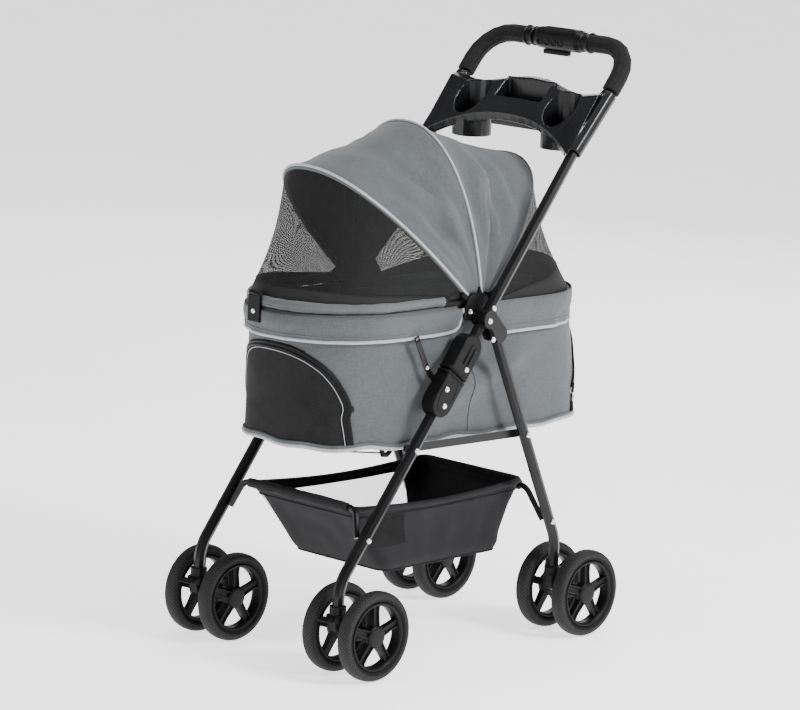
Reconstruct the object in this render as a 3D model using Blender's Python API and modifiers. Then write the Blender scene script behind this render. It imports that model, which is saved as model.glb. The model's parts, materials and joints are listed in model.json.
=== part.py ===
"""Folding pet stroller, built from separate sub-parts.

Metres, +Z up, front of the stroller towards -Y, origin on the floor under the middle of the
bounding box. Left parts are at -X and right parts at +X.
"""
import math

import bmesh
import bpy
import numpy as np
from mathutils import Matrix, Vector

# ---------------------------------------------------------------- driving dimensions
GAP = 0.0004                # clearance between touching parts
TUBE_RADIUS = 0.0095        # legs and handle tube
LEG_X = 0.163               # the legs' distance from the middle, at the fold locks
FOOT_X = 0.160              # the same, at the wheels

WHEEL_RADIUS = 0.0725
TYRE_WIDTH = 0.0243
TYRE_BORE = 0.0556
WHEEL_STEPS = 20
TWIN_OFFSET = 0.0395        # each twin wheel's distance from the leg
AXLE_RADIUS = 0.004
FRONT_AXLE = (-0.268, WHEEL_RADIUS)
REAR_AXLE = (0.231, WHEEL_RADIUS)

STEM_Y = -0.310             # caster swivel axis
STEM_TOP_Z = 0.120
LEG_SLOPE = math.radians(52.8)
LINE_POINT = (-0.0734, 0.4635)      # where the fold joint crosses the leg's centre line
FOLD_OFFSET = 0.0255                # fold pin, in front of the leg's centre line
CASING_HALF_WIDTH = 0.0225
CASING_THICKNESS = 0.027
CASING_FORWARD = 0.004

REAR_PIVOT = (0.0186, 0.5252)       # rear leg's top pivot
REAR_SCREW = (0.1788, 0.1934)       # rear basket hoop's screw
REAR_BEND = (0.1945, 0.162)
REAR_FOOT = (0.1945, 0.1154)

LINK_FRONT = (-0.158, 0.352)
LINK_REAR = (0.1045, 0.3486)
LINK_X = 0.1475
LINK_THICKNESS = 0.002

RING_HALF_WIDTH = 0.134
RING_RADIUS = 0.006
RING_Z = 0.562
RING_FRONT = (-0.178, 0.145)        # centre and reach of the front end
RING_REAR = (0.166, 0.140)
CARRIER_PIVOT = (0.006, RING_Z)
CANOPY_PIVOT = (0.004, 0.584)       # the middle hoop's feet
LID_HALF_WIDTH = 0.131
LID_Z = 0.580
LID_END_Y = -0.032

HOOP_RADIUS = 0.003
HOOP_HALF_WIDTH = 0.141
HOOP_POWER = 2.25                   # squareness of the hoops' arches
HOOP_START = 0.04                   # part of the half turn left off at each foot
HOOPS = {                           # foot (y, z), angle from +Y, top radius
    "front": ((-0.024, 0.584), math.radians(138.5), 0.314),
    "middle": ((0.004, 0.584), math.radians(99.5), 0.270),
    "rear": ((0.022, 0.584), math.radians(48.0), 0.272),
}
FABRIC = 0.0015

HANDLE_LOW = (LEG_X, 0.188, 0.808)
HANDLE_HIGH = (LEG_X, 0.267, 0.897)
HANDLE_TOP = (0.325, 0.971)         # y, z of the cross bar
HANDLE_CORNER = 0.058
FOAM_THICKNESS = 0.0055
FOAM_START_Z = 0.903
CORE_HALF_LENGTH = 0.073

TRAY_HALF_WIDTH = 0.166
TRAY_THICKNESS = 0.0035
CUP_X = 0.100
CUP_Y = 0.225
CUP_RADIUS = 0.0335
CUP_FLOOR_Z = 0.804
BIN_SIZE = (0.108, 0.042)
BIN_Y = 0.2425
BIN_FLOOR_Z = 0.828

COLLECTION = bpy.data.collections.new("pet_stroller")
CUTTERS = bpy.data.collections.new("cutters")


# ---------------------------------------------------------------- scene and materials
def clear_scene():
    for item in list(bpy.data.objects):
        bpy.data.objects.remove(item, do_unlink=True)


def material(name, colour, roughness, metallic=0.0):
    made = bpy.data.materials.new(name)
    made.use_nodes = True
    shader = made.node_tree.nodes["Principled BSDF"]
    shader.inputs["Base Color"].default_value = (*colour, 1.0)
    shader.inputs["Roughness"].default_value = roughness
    shader.inputs["Metallic"].default_value = metallic
    made.diffuse_color = (*colour, 1.0)
    return made


clear_scene()
bpy.context.scene.collection.children.link(COLLECTION)
bpy.context.scene.collection.children.link(CUTTERS)

PAINT = material("black_paint", (0.012, 0.012, 0.013), 0.25)
PLASTIC = material("black_plastic", (0.02, 0.02, 0.022), 0.5)
TRAY_PLASTIC = material("tray_plastic", (0.035, 0.036, 0.04), 0.45)
FOAM = material("foam", (0.02, 0.02, 0.022), 0.9)
RUBBER = material("tyre_rubber", (0.025, 0.025, 0.027), 0.8)
STEEL = material("steel", (0.6, 0.6, 0.6), 0.3, 1.0)
GREY_CLOTH = material("grey_cloth", (0.22, 0.23, 0.235), 0.8)
BLACK_CLOTH = material("black_cloth", (0.015, 0.015, 0.016), 0.85)
MESH_CLOTH = material("mesh_cloth", (0.01, 0.01, 0.01), 0.9)


# ---------------------------------------------------------------- geometry helpers
def on_leg_line(along, forward=0.0):
    """(y, z) on the leg's centre line, measured from the fold joint, upwards."""
    return (LINE_POINT[0] + along * math.cos(LEG_SLOPE) - forward * math.sin(LEG_SLOPE),
            LINE_POINT[1] + along * math.sin(LEG_SLOPE) + forward * math.cos(LEG_SLOPE))


FOLD_PIN = on_leg_line(0.0, FOLD_OFFSET)


def rounded_path(corners, radii, steps=6):
    """Points along straight runs joined by arcs; radii has one value per inner corner."""
    corners = [Vector(c) for c in corners]
    points = [corners[0]]
    for before, corner, after, radius in zip(corners, corners[1:], corners[2:], radii):
        into = (before - corner).normalized()
        out = (after - corner).normalized()
        half = into.angle(out) / 2
        reach = radius / math.tan(half)
        centre = corner + (into + out).normalized() * radius / math.sin(half)
        first = corner + into * reach - centre
        last = corner + out * reach - centre
        turn = first.angle(last)
        for step in range(steps + 1):
            part = step / steps
            spoke = (first * math.sin((1 - part) * turn) + last * math.sin(part * turn)) / math.sin(turn)
            points.append(centre + spoke)
    points.append(corners[-1])
    return points


def place(item, origin=(0, 0, 0), rotation=None):
    item.location = origin
    if rotation is not None:
        item.rotation_euler = rotation.to_euler()
    COLLECTION.objects.link(item)
    return item


def tube(name, points, radius, look, origin=(0, 0, 0), sides=2, cyclic=False, caps=True):
    """A round bar along world points."""
    curve = bpy.data.curves.new(name, "CURVE")
    curve.dimensions = "3D"
    curve.bevel_depth = radius
    curve.bevel_resolution = sides
    curve.use_fill_caps = caps and not cyclic
    spline = curve.splines.new("POLY")
    spline.points.add(len(points) - 1)
    for index, point in enumerate(points):
        spline.points[index].co = (*(Vector(point) - Vector(origin)), 1.0)
    spline.use_cyclic_u = cyclic
    curve.materials.append(look)
    return place(bpy.data.objects.new(name, curve), origin)


SIDE_VIEW = Matrix(((0, 0, 1), (1, 0, 0), (0, 1, 0)))     # flat outline (y, z), thickness along X


def plate(name, outlines, thickness, look, origin, rotation=SIDE_VIEW, pivot=(0.0, 0.0)):
    """A flat outline with holes; outlines are lists of 2-D points, taken from pivot."""
    curve = bpy.data.curves.new(name, "CURVE")
    curve.dimensions = "2D"
    curve.fill_mode = "BOTH"
    curve.extrude = thickness / 2
    for outline in outlines:
        spline = curve.splines.new("POLY")
        spline.points.add(len(outline) - 1)
        for index, (first, second) in enumerate(outline):
            spline.points[index].co = (first - pivot[0], second - pivot[1], 0.0, 1.0)
        spline.use_cyclic_u = True
    curve.materials.append(look)
    return place(bpy.data.objects.new(name, curve), origin, rotation)


def as_mesh(item):
    """The same piece as a welded mesh object, so that it can be cut or joined."""
    bpy.context.view_layer.update()
    graph = bpy.context.evaluated_depsgraph_get()
    mesh = bpy.data.meshes.new_from_object(item.evaluated_get(graph))
    work = bmesh.new()
    work.from_mesh(mesh)
    bmesh.ops.remove_doubles(work, verts=work.verts, dist=1e-6)
    bmesh.ops.recalc_face_normals(work, faces=work.faces)
    work.to_mesh(mesh)
    work.free()
    name = item.name
    look = item.active_material
    matrix = item.matrix_world.copy()
    bpy.data.objects.remove(item, do_unlink=True)
    made = bpy.data.objects.new(name, mesh)
    if look and not mesh.materials:
        mesh.materials.append(look)
    made.matrix_world = matrix
    COLLECTION.objects.link(made)
    return made


def turned(name, profile, steps, look, origin):
    """A closed profile of (radius, height) points turned about the X axis; outer side runs downwards."""
    mesh = bpy.data.meshes.new(name)
    count = len(profile)
    edges = [(i, (i + 1) % count) for i in range(count)]
    mesh.from_pydata([(radius, 0.0, height) for radius, height in profile], edges, [])
    mesh.materials.append(look)
    made = bpy.data.objects.new(name, mesh)
    screw = made.modifiers.new("turn", "SCREW")
    screw.steps = steps
    screw.render_steps = steps
    screw.use_merge_vertices = True
    screw.merge_threshold = 1e-5
    screw.use_smooth_shade = True
    return place(made, origin, Matrix.Rotation(math.pi / 2, 3, "Y"))


def cylinder(name, radius, depth, look, centre, axis=(1, 0, 0), segments=16):
    mesh = bpy.data.meshes.new(name)
    work = bmesh.new()
    bmesh.ops.create_cone(work, cap_ends=True, segments=segments, radius1=radius, radius2=radius,
                          depth=depth)
    work.to_mesh(mesh)
    work.free()
    mesh.materials.append(look)
    turn = Vector((0, 0, 1)).rotation_difference(Vector(axis)).to_matrix()
    return place(bpy.data.objects.new(name, mesh), centre, turn)


def box(name, size, look, centre, rotation=None):
    mesh = bpy.data.meshes.new(name)
    work = bmesh.new()
    bmesh.ops.create_cube(work, size=1.0)
    bmesh.ops.scale(work, vec=size, verts=work.verts)
    work.to_mesh(mesh)
    work.free()
    mesh.materials.append(look)
    return place(bpy.data.objects.new(name, mesh), centre, rotation)


def combine(target, other, operation):
    other.hide_render = True
    other.display_type = "WIRE"
    for holder in list(other.users_collection):
        holder.objects.unlink(other)
    CUTTERS.objects.link(other)
    change = target.modifiers.new(other.name, "BOOLEAN")
    change.operation = operation
    change.solver = "EXACT"
    change.object = other
    return target


def fuse(target, *others):
    for other in others:
        combine(target, other, "UNION")
    return target


def cut(target, *others):
    for other in others:
        combine(target, other, "DIFFERENCE")
    return target


def round_edges(item, width, segments=2):
    bevel = item.modifiers.new("round_edges", "BEVEL")
    bevel.width = width
    bevel.segments = segments
    bevel.limit_method = "ANGLE"
    bevel.angle_limit = math.radians(50)
    return item


def circle(centre, radius, count=16, start=0.0, sweep=2 * math.pi):
    whole = abs(sweep - 2 * math.pi) < 1e-9
    steps = count if whole else count - 1
    return [(centre[0] + radius * math.cos(start + sweep * i / steps),
             centre[1] + radius * math.sin(start + sweep * i / steps)) for i in range(count)]


def resample(points, count):
    """The same polyline with points at equal distances along it."""
    path = np.array([tuple(p) for p in points], dtype=float)
    run = np.concatenate([[0.0], np.cumsum(np.linalg.norm(np.diff(path, axis=0), axis=1))])
    wanted = np.linspace(0.0, run[-1], count)
    return [Vector([np.interp(w, run, path[:, axis]) for axis in range(3)]) for w in wanted]


def shell(name, rails, thickness, look, origin=(0, 0, 0), around=False, floor=False, offset=0.0):
    """A thin shell lofted over rails, lists of world points of the same length."""
    mesh = bpy.data.meshes.new(name)
    work = bmesh.new()
    rows = [[work.verts.new(Vector(p) - Vector(origin)) for p in rail] for rail in rails]
    for low, high in zip(rows, rows[1:]):
        last = len(low) if around else len(low) - 1
        for i in range(last):
            j = (i + 1) % len(low)
            work.faces.new((low[i], low[j], high[j], high[i]))
    if floor:
        work.faces.new(list(reversed(rows[0])))
    bmesh.ops.recalc_face_normals(work, faces=work.faces)
    work.to_mesh(mesh)
    work.free()
    mesh.materials.append(look)
    made = place(bpy.data.objects.new(name, mesh), origin)
    solid = made.modifiers.new("thickness", "SOLIDIFY")
    solid.thickness = thickness
    solid.offset = offset
    return made


def level_floor(item, height):
    """Lay the inner floor of an open shell flat at a world height."""
    made = as_mesh(item)
    lift = height - made.matrix_world.translation.z
    inner_floor = max((face for face in made.data.polygons if face.normal.z > 0.9), key=lambda f: f.area)
    for index in inner_floor.vertices:
        made.data.vertices[index].co.z = lift
    made.data.update()


def hollow_sleeve(name, points, inner_radius, thickness, look, origin=(0, 0, 0), sides=3):
    """A tube with a bore, along world points."""
    made = as_mesh(tube(name, points, inner_radius, look, origin, sides, caps=False))
    solid = made.modifiers.new("thickness", "SOLIDIFY")
    solid.thickness = thickness
    solid.offset = 1.0
    return made


def both_sides(build):
    for side, word in ((-1, "left"), (1, "right")):
        build(side, word)


# ---------------------------------------------------------------- frame tubes
def front_leg(side, word):
    x = side * LEG_X
    top = on_leg_line(-0.05)
    run = (STEM_Y - LINE_POINT[0]) / math.cos(LEG_SLOPE)
    corner_z = LINE_POINT[1] + run * math.sin(LEG_SLOPE)
    foot = side * FOOT_X
    corners = [(x, *top), (foot, STEM_Y, corner_z), (foot, STEM_Y, STEM_TOP_Z + GAP)]
    tube(f"front_leg_{word}", rounded_path(corners, [0.07]), TUBE_RADIUS, PAINT, (x, *FOLD_PIN))


def rear_leg(side, word):
    x = side * LEG_X
    lean = Vector((0, REAR_SCREW[0] - REAR_PIVOT[0], REAR_SCREW[1] - REAR_PIVOT[1])).normalized()
    top = Vector((x, *REAR_PIVOT)) - lean * 0.006
    foot = side * FOOT_X
    corners = [top, (foot, *REAR_BEND), (foot, REAR_FOOT[0], REAR_FOOT[1] + GAP)]
    tube(f"rear_leg_{word}", rounded_path(corners, [0.06]), TUBE_RADIUS - 0.0005, PAINT, (x, *REAR_PIVOT))


def handle_path():
    """The handle's bent tube from its right lower end, over the top, to its left lower end."""
    half = [(LEG_X, *on_leg_line(0.003)), HANDLE_LOW, HANDLE_HIGH]
    top = (LEG_X, *HANDLE_TOP)
    corners = half + [top, (-top[0], *top[1:])] + [(-x, y, z) for x, y, z in reversed(half)]
    radii = [0.25, 0.20, HANDLE_CORNER, HANDLE_CORNER, 0.20, 0.25]
    return rounded_path(corners, radii, steps=5)


def handle_parts():
    path = handle_path()
    tube("handle_tube", path, TUBE_RADIUS - 0.0005, PAINT)
    middle = Vector((0, *HANDLE_TOP))
    crossing = next(index for index, point in enumerate(path) if point.z > FOAM_START_Z)
    below, above = path[crossing - 1], path[crossing]
    start = below.lerp(above, (FOAM_START_Z - below.z) / (above.z - below.z))
    end = Vector((CORE_HALF_LENGTH + GAP, *HANDLE_TOP))
    route = [start] + [p for p in path[crossing:] if p.x > end.x + 0.004] + [end]
    for side, word in ((1, "right"), (-1, "left")):
        mirrored = [Vector((side * p.x, p.y, p.z)) for p in route]
        hollow_sleeve(f"foam_grip_{word}", mirrored, TUBE_RADIUS, FOAM_THICKNESS, FOAM)

    bore = TUBE_RADIUS
    outer = [(0.0155, 1.0), (0.0155, 0.93), (0.0135, 0.90), (0.0135, 0.80), (0.0155, 0.77), (0.0155, 0.72),
             (0.0195, 0.62), (0.0195, -0.42), (0.0185, -0.45), (0.0185, -0.56), (0.0135, -0.72),
             (0.0135, -0.90), (0.0155, -0.93), (0.0155, -1.0)]
    profile = [(bore, 1.0)] + outer + [(bore, -1.0)]
    core = turned("grip_core", [(radius, height * CORE_HALF_LENGTH) for radius, height in profile], 16,
                  PLASTIC, middle)
    down = Vector((0, HANDLE_TOP[0], HANDLE_TOP[1])) + Vector((0, 0, -0.0155))
    slot = box("trigger_slot", (0.056, 0.0135, 0.0115), PLASTIC, down + Vector((-0.006, 0, -0.001)))
    hole = cylinder("button_hole", 0.0058, 0.0105, PLASTIC, middle + Vector((0.014, 0.01645, 0)), (0, 1, 0))
    cut(core, slot, hole)

    trigger = box("release_trigger", (0.0545, 0.012, 0.0085), PLASTIC, down + Vector((-0.006, 0, -0.0075)))
    round_edges(trigger, 0.0025)
    button_centre = middle + Vector((0.014, 0.0165, 0))
    button = cylinder("safety_button", 0.0052, 0.006, PLASTIC, button_centre, (0, 1, 0))
    round_edges(button, 0.001, 1)


# ---------------------------------------------------------------- fold lock and leg brackets
def casing_outline(upper):
    """Half of the casing's rounded outline, above or below the fold plane."""
    reach = 0.0515 if upper else 0.053
    sign = 1 if upper else -1
    centre = on_leg_line(sign * reach, CASING_FORWARD)
    start = LEG_SLOPE - sign * math.pi / 2
    arc = circle(centre, CASING_HALF_WIDTH, 9, start, math.pi)
    front_limit = FOLD_OFFSET
    rear_limit = CASING_FORWARD - CASING_HALF_WIDTH
    corners = [on_leg_line(sign * GAP, front_limit), on_leg_line(sign * GAP, rear_limit)]
    return arc + (corners if upper else corners[::-1])


def leg_bore(name, x, low, high, radius):
    middle = on_leg_line((low + high) / 2)
    axis = (0, math.cos(LEG_SLOPE), math.sin(LEG_SLOPE))
    return cylinder(name, radius, high - low, PLASTIC, (x, *middle), axis, 16)


def fold_lock(side, word):
    x = side * LEG_X
    lower = as_mesh(plate(f"lock_casing_{word}", [casing_outline(False)], CASING_THICKNESS, PLASTIC,
                          (x, *FOLD_PIN), pivot=FOLD_PIN))
    round_edges(lower, 0.004)
    cut(lower, leg_bore(f"casing_bore_{word}", x, -0.10, -0.0495, TUBE_RADIUS + 0.001))
    middle = on_leg_line(0.035)
    upper = as_mesh(plate(f"lock_sleeve_{word}", [casing_outline(True)], CASING_THICKNESS, PLASTIC,
                          (x, *middle), pivot=middle))
    round_edges(upper, 0.004)
    cut(upper, leg_bore(f"sleeve_bore_{word}", x, -0.01, 0.10, TUBE_RADIUS + 0.0004))


def leg_bracket(side, word):
    x = side * LEG_X
    tube_side = circle(on_leg_line(0.110), 0.0155, 8, LEG_SLOPE + math.radians(10), math.radians(215))
    pivot_side = circle(REAR_PIVOT, 0.0145, 9, math.radians(-115), math.radians(150))
    made = as_mesh(plate(f"leg_bracket_{word}", [tube_side + pivot_side], 0.030, PAINT,
                         (x, *REAR_PIVOT), pivot=REAR_PIVOT))
    bore = leg_bore(f"bracket_bore_{word}", x, 0.06, 0.16, TUBE_RADIUS)
    turn = Matrix.Rotation(LEG_SLOPE, 3, "X")
    slot_centre = on_leg_line(0.095, -0.039)
    slot = box(f"bracket_slot_{word}", (0.0196, 0.085, 0.051), PAINT, (x, *slot_centre), turn)
    cut(made, bore, slot)


def side_link(side, word):
    x = side * LINK_X
    length = LINK_REAR[0] - LINK_FRONT[0]
    drop = math.atan2(LINK_REAR[1] - LINK_FRONT[1], length)
    front_end = circle(LINK_FRONT, 0.0065, 7, math.radians(90) + drop, math.pi)
    rear_end = circle(LINK_REAR, 0.0065, 7, math.radians(-90) + drop, math.pi)
    plate(f"side_link_{word}", [front_end + rear_end], LINK_THICKNESS, PAINT, (x, *LINK_FRONT),
          pivot=LINK_FRONT)


def basket_hoops():
    inner = FOOT_X - TUBE_RADIUS - 0.0055
    front_screw = on_leg_line((0.2187 - LINE_POINT[1]) / math.sin(LEG_SLOPE))
    bar = 0.005
    for name, start, corner, pivot in (
            ("basket_hoop_front", (inner, *front_screw), (0.127, -0.247, 0.262), FOLD_PIN),
            ("basket_hoop_rear", (inner, *REAR_SCREW), (0.118, 0.164, 0.247), REAR_PIVOT)):
        corners = [start, corner, (-corner[0], *corner[1:]), (-start[0], *start[1:])]
        tube(name, rounded_path(corners, [0.02, 0.02], 5), bar, PAINT, (0, *pivot))


# ---------------------------------------------------------------- wheels
def caster_housing(side, word):
    x = side * FOOT_X
    name = f"caster_housing_{word}"
    collar = cylinder(name, 0.0135, 0.018, PLASTIC, (x, STEM_Y, STEM_TOP_Z - 0.009), (0, 0, 1), 20)
    disc = cylinder(f"caster_disc_{word}", 0.0185, 0.010, PLASTIC, (x, STEM_Y, 0.100), (0, 0, 1), 20)
    y, z = FRONT_AXLE
    outline = [(STEM_Y - 0.016, 0.099), (STEM_Y - 0.011, 0.080)] + \
        circle(FRONT_AXLE, 0.0145, 8, math.radians(205), math.radians(215)) + \
        [(STEM_Y + 0.034, 0.094), (STEM_Y + 0.016, 0.102)]
    arm = as_mesh(plate(f"caster_arm_{word}", [outline], 0.020, PLASTIC, (x, 0, 0)))
    boss = cylinder(f"caster_boss_{word}", 0.0115, 0.050, PLASTIC, (x, y, z), (1, 0, 0), 16)
    bore = cylinder(f"caster_bore_{word}", AXLE_RADIUS + 0.0007, 0.07, PLASTIC, (x, y, z))
    cut(fuse(collar, disc, arm, boss), bore)


def rear_housing(side, word):
    x = side * FOOT_X
    name = f"rear_housing_{word}"
    foot_y, foot_z = REAR_FOOT
    collar = cylinder(name, 0.0145, 0.030, PLASTIC, (x, foot_y, foot_z - 0.015), (0, 0, 1), 20)
    y, z = REAR_AXLE
    outline = [(foot_y - 0.014, 0.103), (foot_y - 0.012, 0.080)] + \
        circle(REAR_AXLE, 0.0145, 8, math.radians(215), math.radians(200)) + \
        [(foot_y + 0.022, 0.100), (foot_y + 0.013, 0.108)]
    arm = as_mesh(plate(f"rear_arm_{word}", [outline], 0.020, PLASTIC, (x, 0, 0)))
    boss = cylinder(f"rear_boss_{word}", 0.0115, 0.050, PLASTIC, (x, y, z), (1, 0, 0), 16)
    bore = cylinder(f"rear_bore_{word}", AXLE_RADIUS + 0.0007, 0.07, PLASTIC, (x, y, z))
    cut(fuse(collar, arm, boss), bore)


def swivel_lock(side, word):
    hinge = (STEM_Y - 0.0202, 0.100)
    outline = [(-0.3298, 0.0975), (-0.3445, 0.0985), (-0.3445, 0.1015), (-0.336, 0.1035), (-0.3298, 0.1045)]
    lever = as_mesh(plate(f"swivel_lock_{word}", [outline], 0.022, PLASTIC, (side * FOOT_X, *hinge),
                          pivot=hinge))
    round_edges(lever, 0.001, 1)


def brake_pedal(side, word):
    hinge = (0.226, 0.106)
    outline = [(0.2215, 0.1035), (0.229, 0.1005), (0.262, 0.118), (0.260, 0.124), (0.250, 0.122),
               (0.2235, 0.1105)]
    pedal = as_mesh(plate(f"brake_pedal_{word}", [outline], 0.030, PLASTIC, (side * FOOT_X, *hinge),
                          pivot=hinge))
    round_edges(pedal, 0.0012, 1)


def wheel(label, x, axle):
    hub = 0.0185
    rim = TYRE_BORE - GAP
    openings = []
    spokes = 5
    inner, outer = hub + 0.004, rim - 0.006
    half_spoke = 0.0058
    for index in range(spokes):
        middle = 2 * math.pi * index / spokes + math.pi / 2
        wide = math.pi / spokes - math.asin(half_spoke / outer)
        narrow = math.pi / spokes - math.asin(half_spoke / inner)
        openings.append(circle((0, 0), outer, 6, middle - wide, 2 * wide)
                        + circle((0, 0), inner, 3, middle + narrow, -2 * narrow))
    outline = [circle((0, 0), rim, WHEEL_STEPS), circle((0, 0), AXLE_RADIUS + 0.0007, 10)] + openings
    plate(f"rim_{label}", outline, 0.016, PLASTIC, (x, *axle))
    crown, shoulder = WHEEL_RADIUS, WHEEL_RADIUS - 0.0035
    side, half = WHEEL_RADIUS - 0.009, TYRE_WIDTH / 2
    profile = [(TYRE_BORE, half - 0.003), (side, half), (shoulder, half - 0.0022), (crown, half - 0.007),
               (crown, 0.007 - half), (shoulder, 0.0022 - half), (side, -half), (TYRE_BORE, 0.003 - half)]
    turned(f"tyre_{label}", profile, WHEEL_STEPS, RUBBER, (x, *axle))


def wheel_sets():
    for end, axle in (("front", FRONT_AXLE), ("rear", REAR_AXLE)):
        for side, word in ((-1, "left"), (1, "right")):
            middle = side * FOOT_X
            cylinder(f"{end}_axle_{word}", AXLE_RADIUS, 2 * TWIN_OFFSET + 0.014, STEEL, (middle, *axle),
                     (1, 0, 0), 10)
            wheel(f"{end}_{word}_inner", middle - side * TWIN_OFFSET, axle)
            wheel(f"{end}_{word}_outer", middle + side * TWIN_OFFSET, axle)


# ---------------------------------------------------------------- cup tray
def tray_section(x):
    """(y, z) of the tray's section at x: under the front lip, front edge, crest, back edge, brim."""
    arch = (abs(x) / 0.166) ** 2.2
    wave = math.sin(math.pi / 2 * min(abs(x) / 0.12, 1.0)) ** 2
    rise = 0.008 * max(abs(x) - 0.12, 0.0) / 0.047
    front = (0.200 - 0.030 * arch, 0.853 - 0.047 * arch)
    back = (0.276 - 0.020 * wave, 0.909 - 0.016 * wave + rise)
    return [(front[0] + 0.005, front[1] - 0.013), front, (back[0] - 0.017, back[1] - 0.003), back,
            (back[0] + 0.002, back[1] - 0.010)]


def trim_to_tray(well, x):
    """Cut off what a well has above the tray's slope, and above its crest, at x."""
    _, front, crest, _, _ = tray_section(x)
    slope = math.atan2(crest[1] - front[1], crest[0] - front[0])
    turn = Matrix.Rotation(slope, 3, "X")
    middle = Vector((0, (front[0] + crest[0]) / 2, (front[1] + crest[1]) / 2))
    for name, centre, rotation in (("slope", middle + turn @ Vector((0, 0, 0.101)), turn),
                                   ("crest", Vector((0, *crest)) + Vector((0, 0, 0.101)), None)):
        cut(well, box(f"above_{name}_{well.name}", (0.5, 0.5, 0.2), TRAY_PLASTIC, centre, rotation))
    return well


def cup_tray():
    stations = np.linspace(TRAY_HALF_WIDTH, -TRAY_HALF_WIDTH, 17)
    sections = [tray_section(x) for x in stations]
    rails = [[Vector((x, *section[row])) for x, section in zip(stations, sections)] for row in range(5)]
    tray = as_mesh(shell("cup_tray", rails, TRAY_THICKNESS, TRAY_PLASTIC))
    wall = 0.003
    hollows = []
    for side, word in ((-1, "left"), (1, "right")):
        for kind, radius, low in (("cup", CUP_RADIUS, CUP_FLOOR_Z),
                                  ("cup_hollow", CUP_RADIUS - wall, CUP_FLOOR_Z + wall)):
            made = cylinder(f"{kind}_{word}", radius, 0.14, TRAY_PLASTIC, (side * CUP_X, CUP_Y, low + 0.07),
                            (0, 0, 1), 20)
            if kind == "cup":
                fuse(tray, trim_to_tray(made, CUP_X))
            else:
                hollows.append(made)
    for kind, inset in (("bin", 0.0), ("bin_hollow", wall)):
        size = (BIN_SIZE[0] - 2 * inset, BIN_SIZE[1] - 2 * inset, 0.14)
        made = box(kind, size, TRAY_PLASTIC, (0, BIN_Y, BIN_FLOOR_Z + inset + 0.07))
        if inset:
            hollows.append(made)
        else:
            fuse(tray, trim_to_tray(made, 0.0))
    low, high = Vector(HANDLE_LOW), Vector(HANDLE_HIGH)
    along = (high - low).normalized()
    for side, word in ((-1, "left"), (1, "right")):
        for kind, extra, radius in (("tray_arm", 0.002, TUBE_RADIUS + 0.0045),
                                    ("tray_bore", 0.10, TUBE_RADIUS + 0.0014)):
            ends = [low - along * extra, high + along * extra]
            made = as_mesh(tube(f"{kind}_{word}", [Vector((side * p.x, p.y, p.z)) for p in ends], radius,
                                TRAY_PLASTIC, sides=3))
            if kind == "tray_arm":
                fuse(tray, made)
            else:
                hollows.append(made)
    cut(tray, *hollows)


# ---------------------------------------------------------------- carrier and canopy
def oval(half_width, front, rear, z, front_power=2.0, rear_power=2.0, steps=10):
    """A closed outline with straight sides and rounded ends, as world points."""
    points = []
    ends = ((rear, 1, rear_power, 0.0), (front, -1, front_power, math.pi))
    for (centre, reach), sign, power, start in ends:
        for step in range(steps + 1):
            angle = start + math.pi * step / steps
            c, s = math.cos(angle), math.sin(angle)
            x = half_width * math.copysign(abs(c) ** (2 / power), c)
            y = centre + sign * reach * abs(s) ** (2 / power)
            points.append(Vector((x, y, z)))
    return points


def end_curve(half_width, end, z, start_y, sign, count, power=2.0):
    """A U from the right side at start_y, round one end of the ring, to the left side."""
    centre, reach = end
    arc = []
    for step in range(25):
        angle = math.pi * step / 24
        c, s = math.cos(angle), math.sin(angle)
        arc.append(Vector((half_width * math.copysign(abs(c) ** (2 / power), c),
                           centre + sign * reach * abs(s) ** (2 / power), z)))
    path = [Vector((half_width, start_y, z))] + arc + [Vector((-half_width, start_y, z))]
    return resample(path, count)


def hoop_curve(name, grow=0.0, start=HOOP_START, count=19):
    """A canopy hoop's arch, from its right foot to its left foot."""
    (foot_y, foot_z), lean, top = HOOPS[name]
    points = []
    for step in range(49):
        angle = math.pi * (start + (1 - 2 * start) * step / 48)
        c, s = math.cos(angle), math.sin(angle)
        x = (HOOP_HALF_WIDTH + grow) * math.copysign(abs(c) ** (2 / HOOP_POWER), c)
        reach = (top + grow) * abs(s) ** (2 / HOOP_POWER)
        points.append(Vector((x, foot_y + reach * math.cos(lean), foot_z + reach * math.sin(lean))))
    return resample(points, count)


def between(first, second, part):
    return [a.lerp(b, part) for a, b in zip(first, second)]


def carrier():
    pivot = (0, *CARRIER_PIVOT)
    tube("carrier_ring", oval(RING_HALF_WIDTH, RING_FRONT, RING_REAR, RING_Z), RING_RADIUS, PAINT,
         pivot, cyclic=True)
    top_z = RING_Z - RING_RADIUS - GAP
    levels = [
        oval(0.121, (-0.180, 0.126), (0.205, 0.104), 0.352, 2.6, 2.8),
        oval(0.128, (-0.180, 0.133), (0.205, 0.108), 0.366, 2.5, 2.7),
        oval(0.132, (-0.180, 0.141), (0.195, 0.118), 0.45, 2.2, 2.4),
        oval(RING_HALF_WIDTH, RING_FRONT, RING_REAR, top_z),
    ]
    body = shell("carrier_body", levels, 0.003, GREY_CLOTH, pivot, around=True, floor=True, offset=-1.0)
    level_floor(body, levels[0][0].z + 0.003)
    lid = end_curve(LID_HALF_WIDTH, RING_FRONT, LID_Z, LID_END_Y, -1, 25)
    tube("lid_ring", lid, RING_RADIUS, PAINT, (0, *CANOPY_PIVOT))


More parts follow.
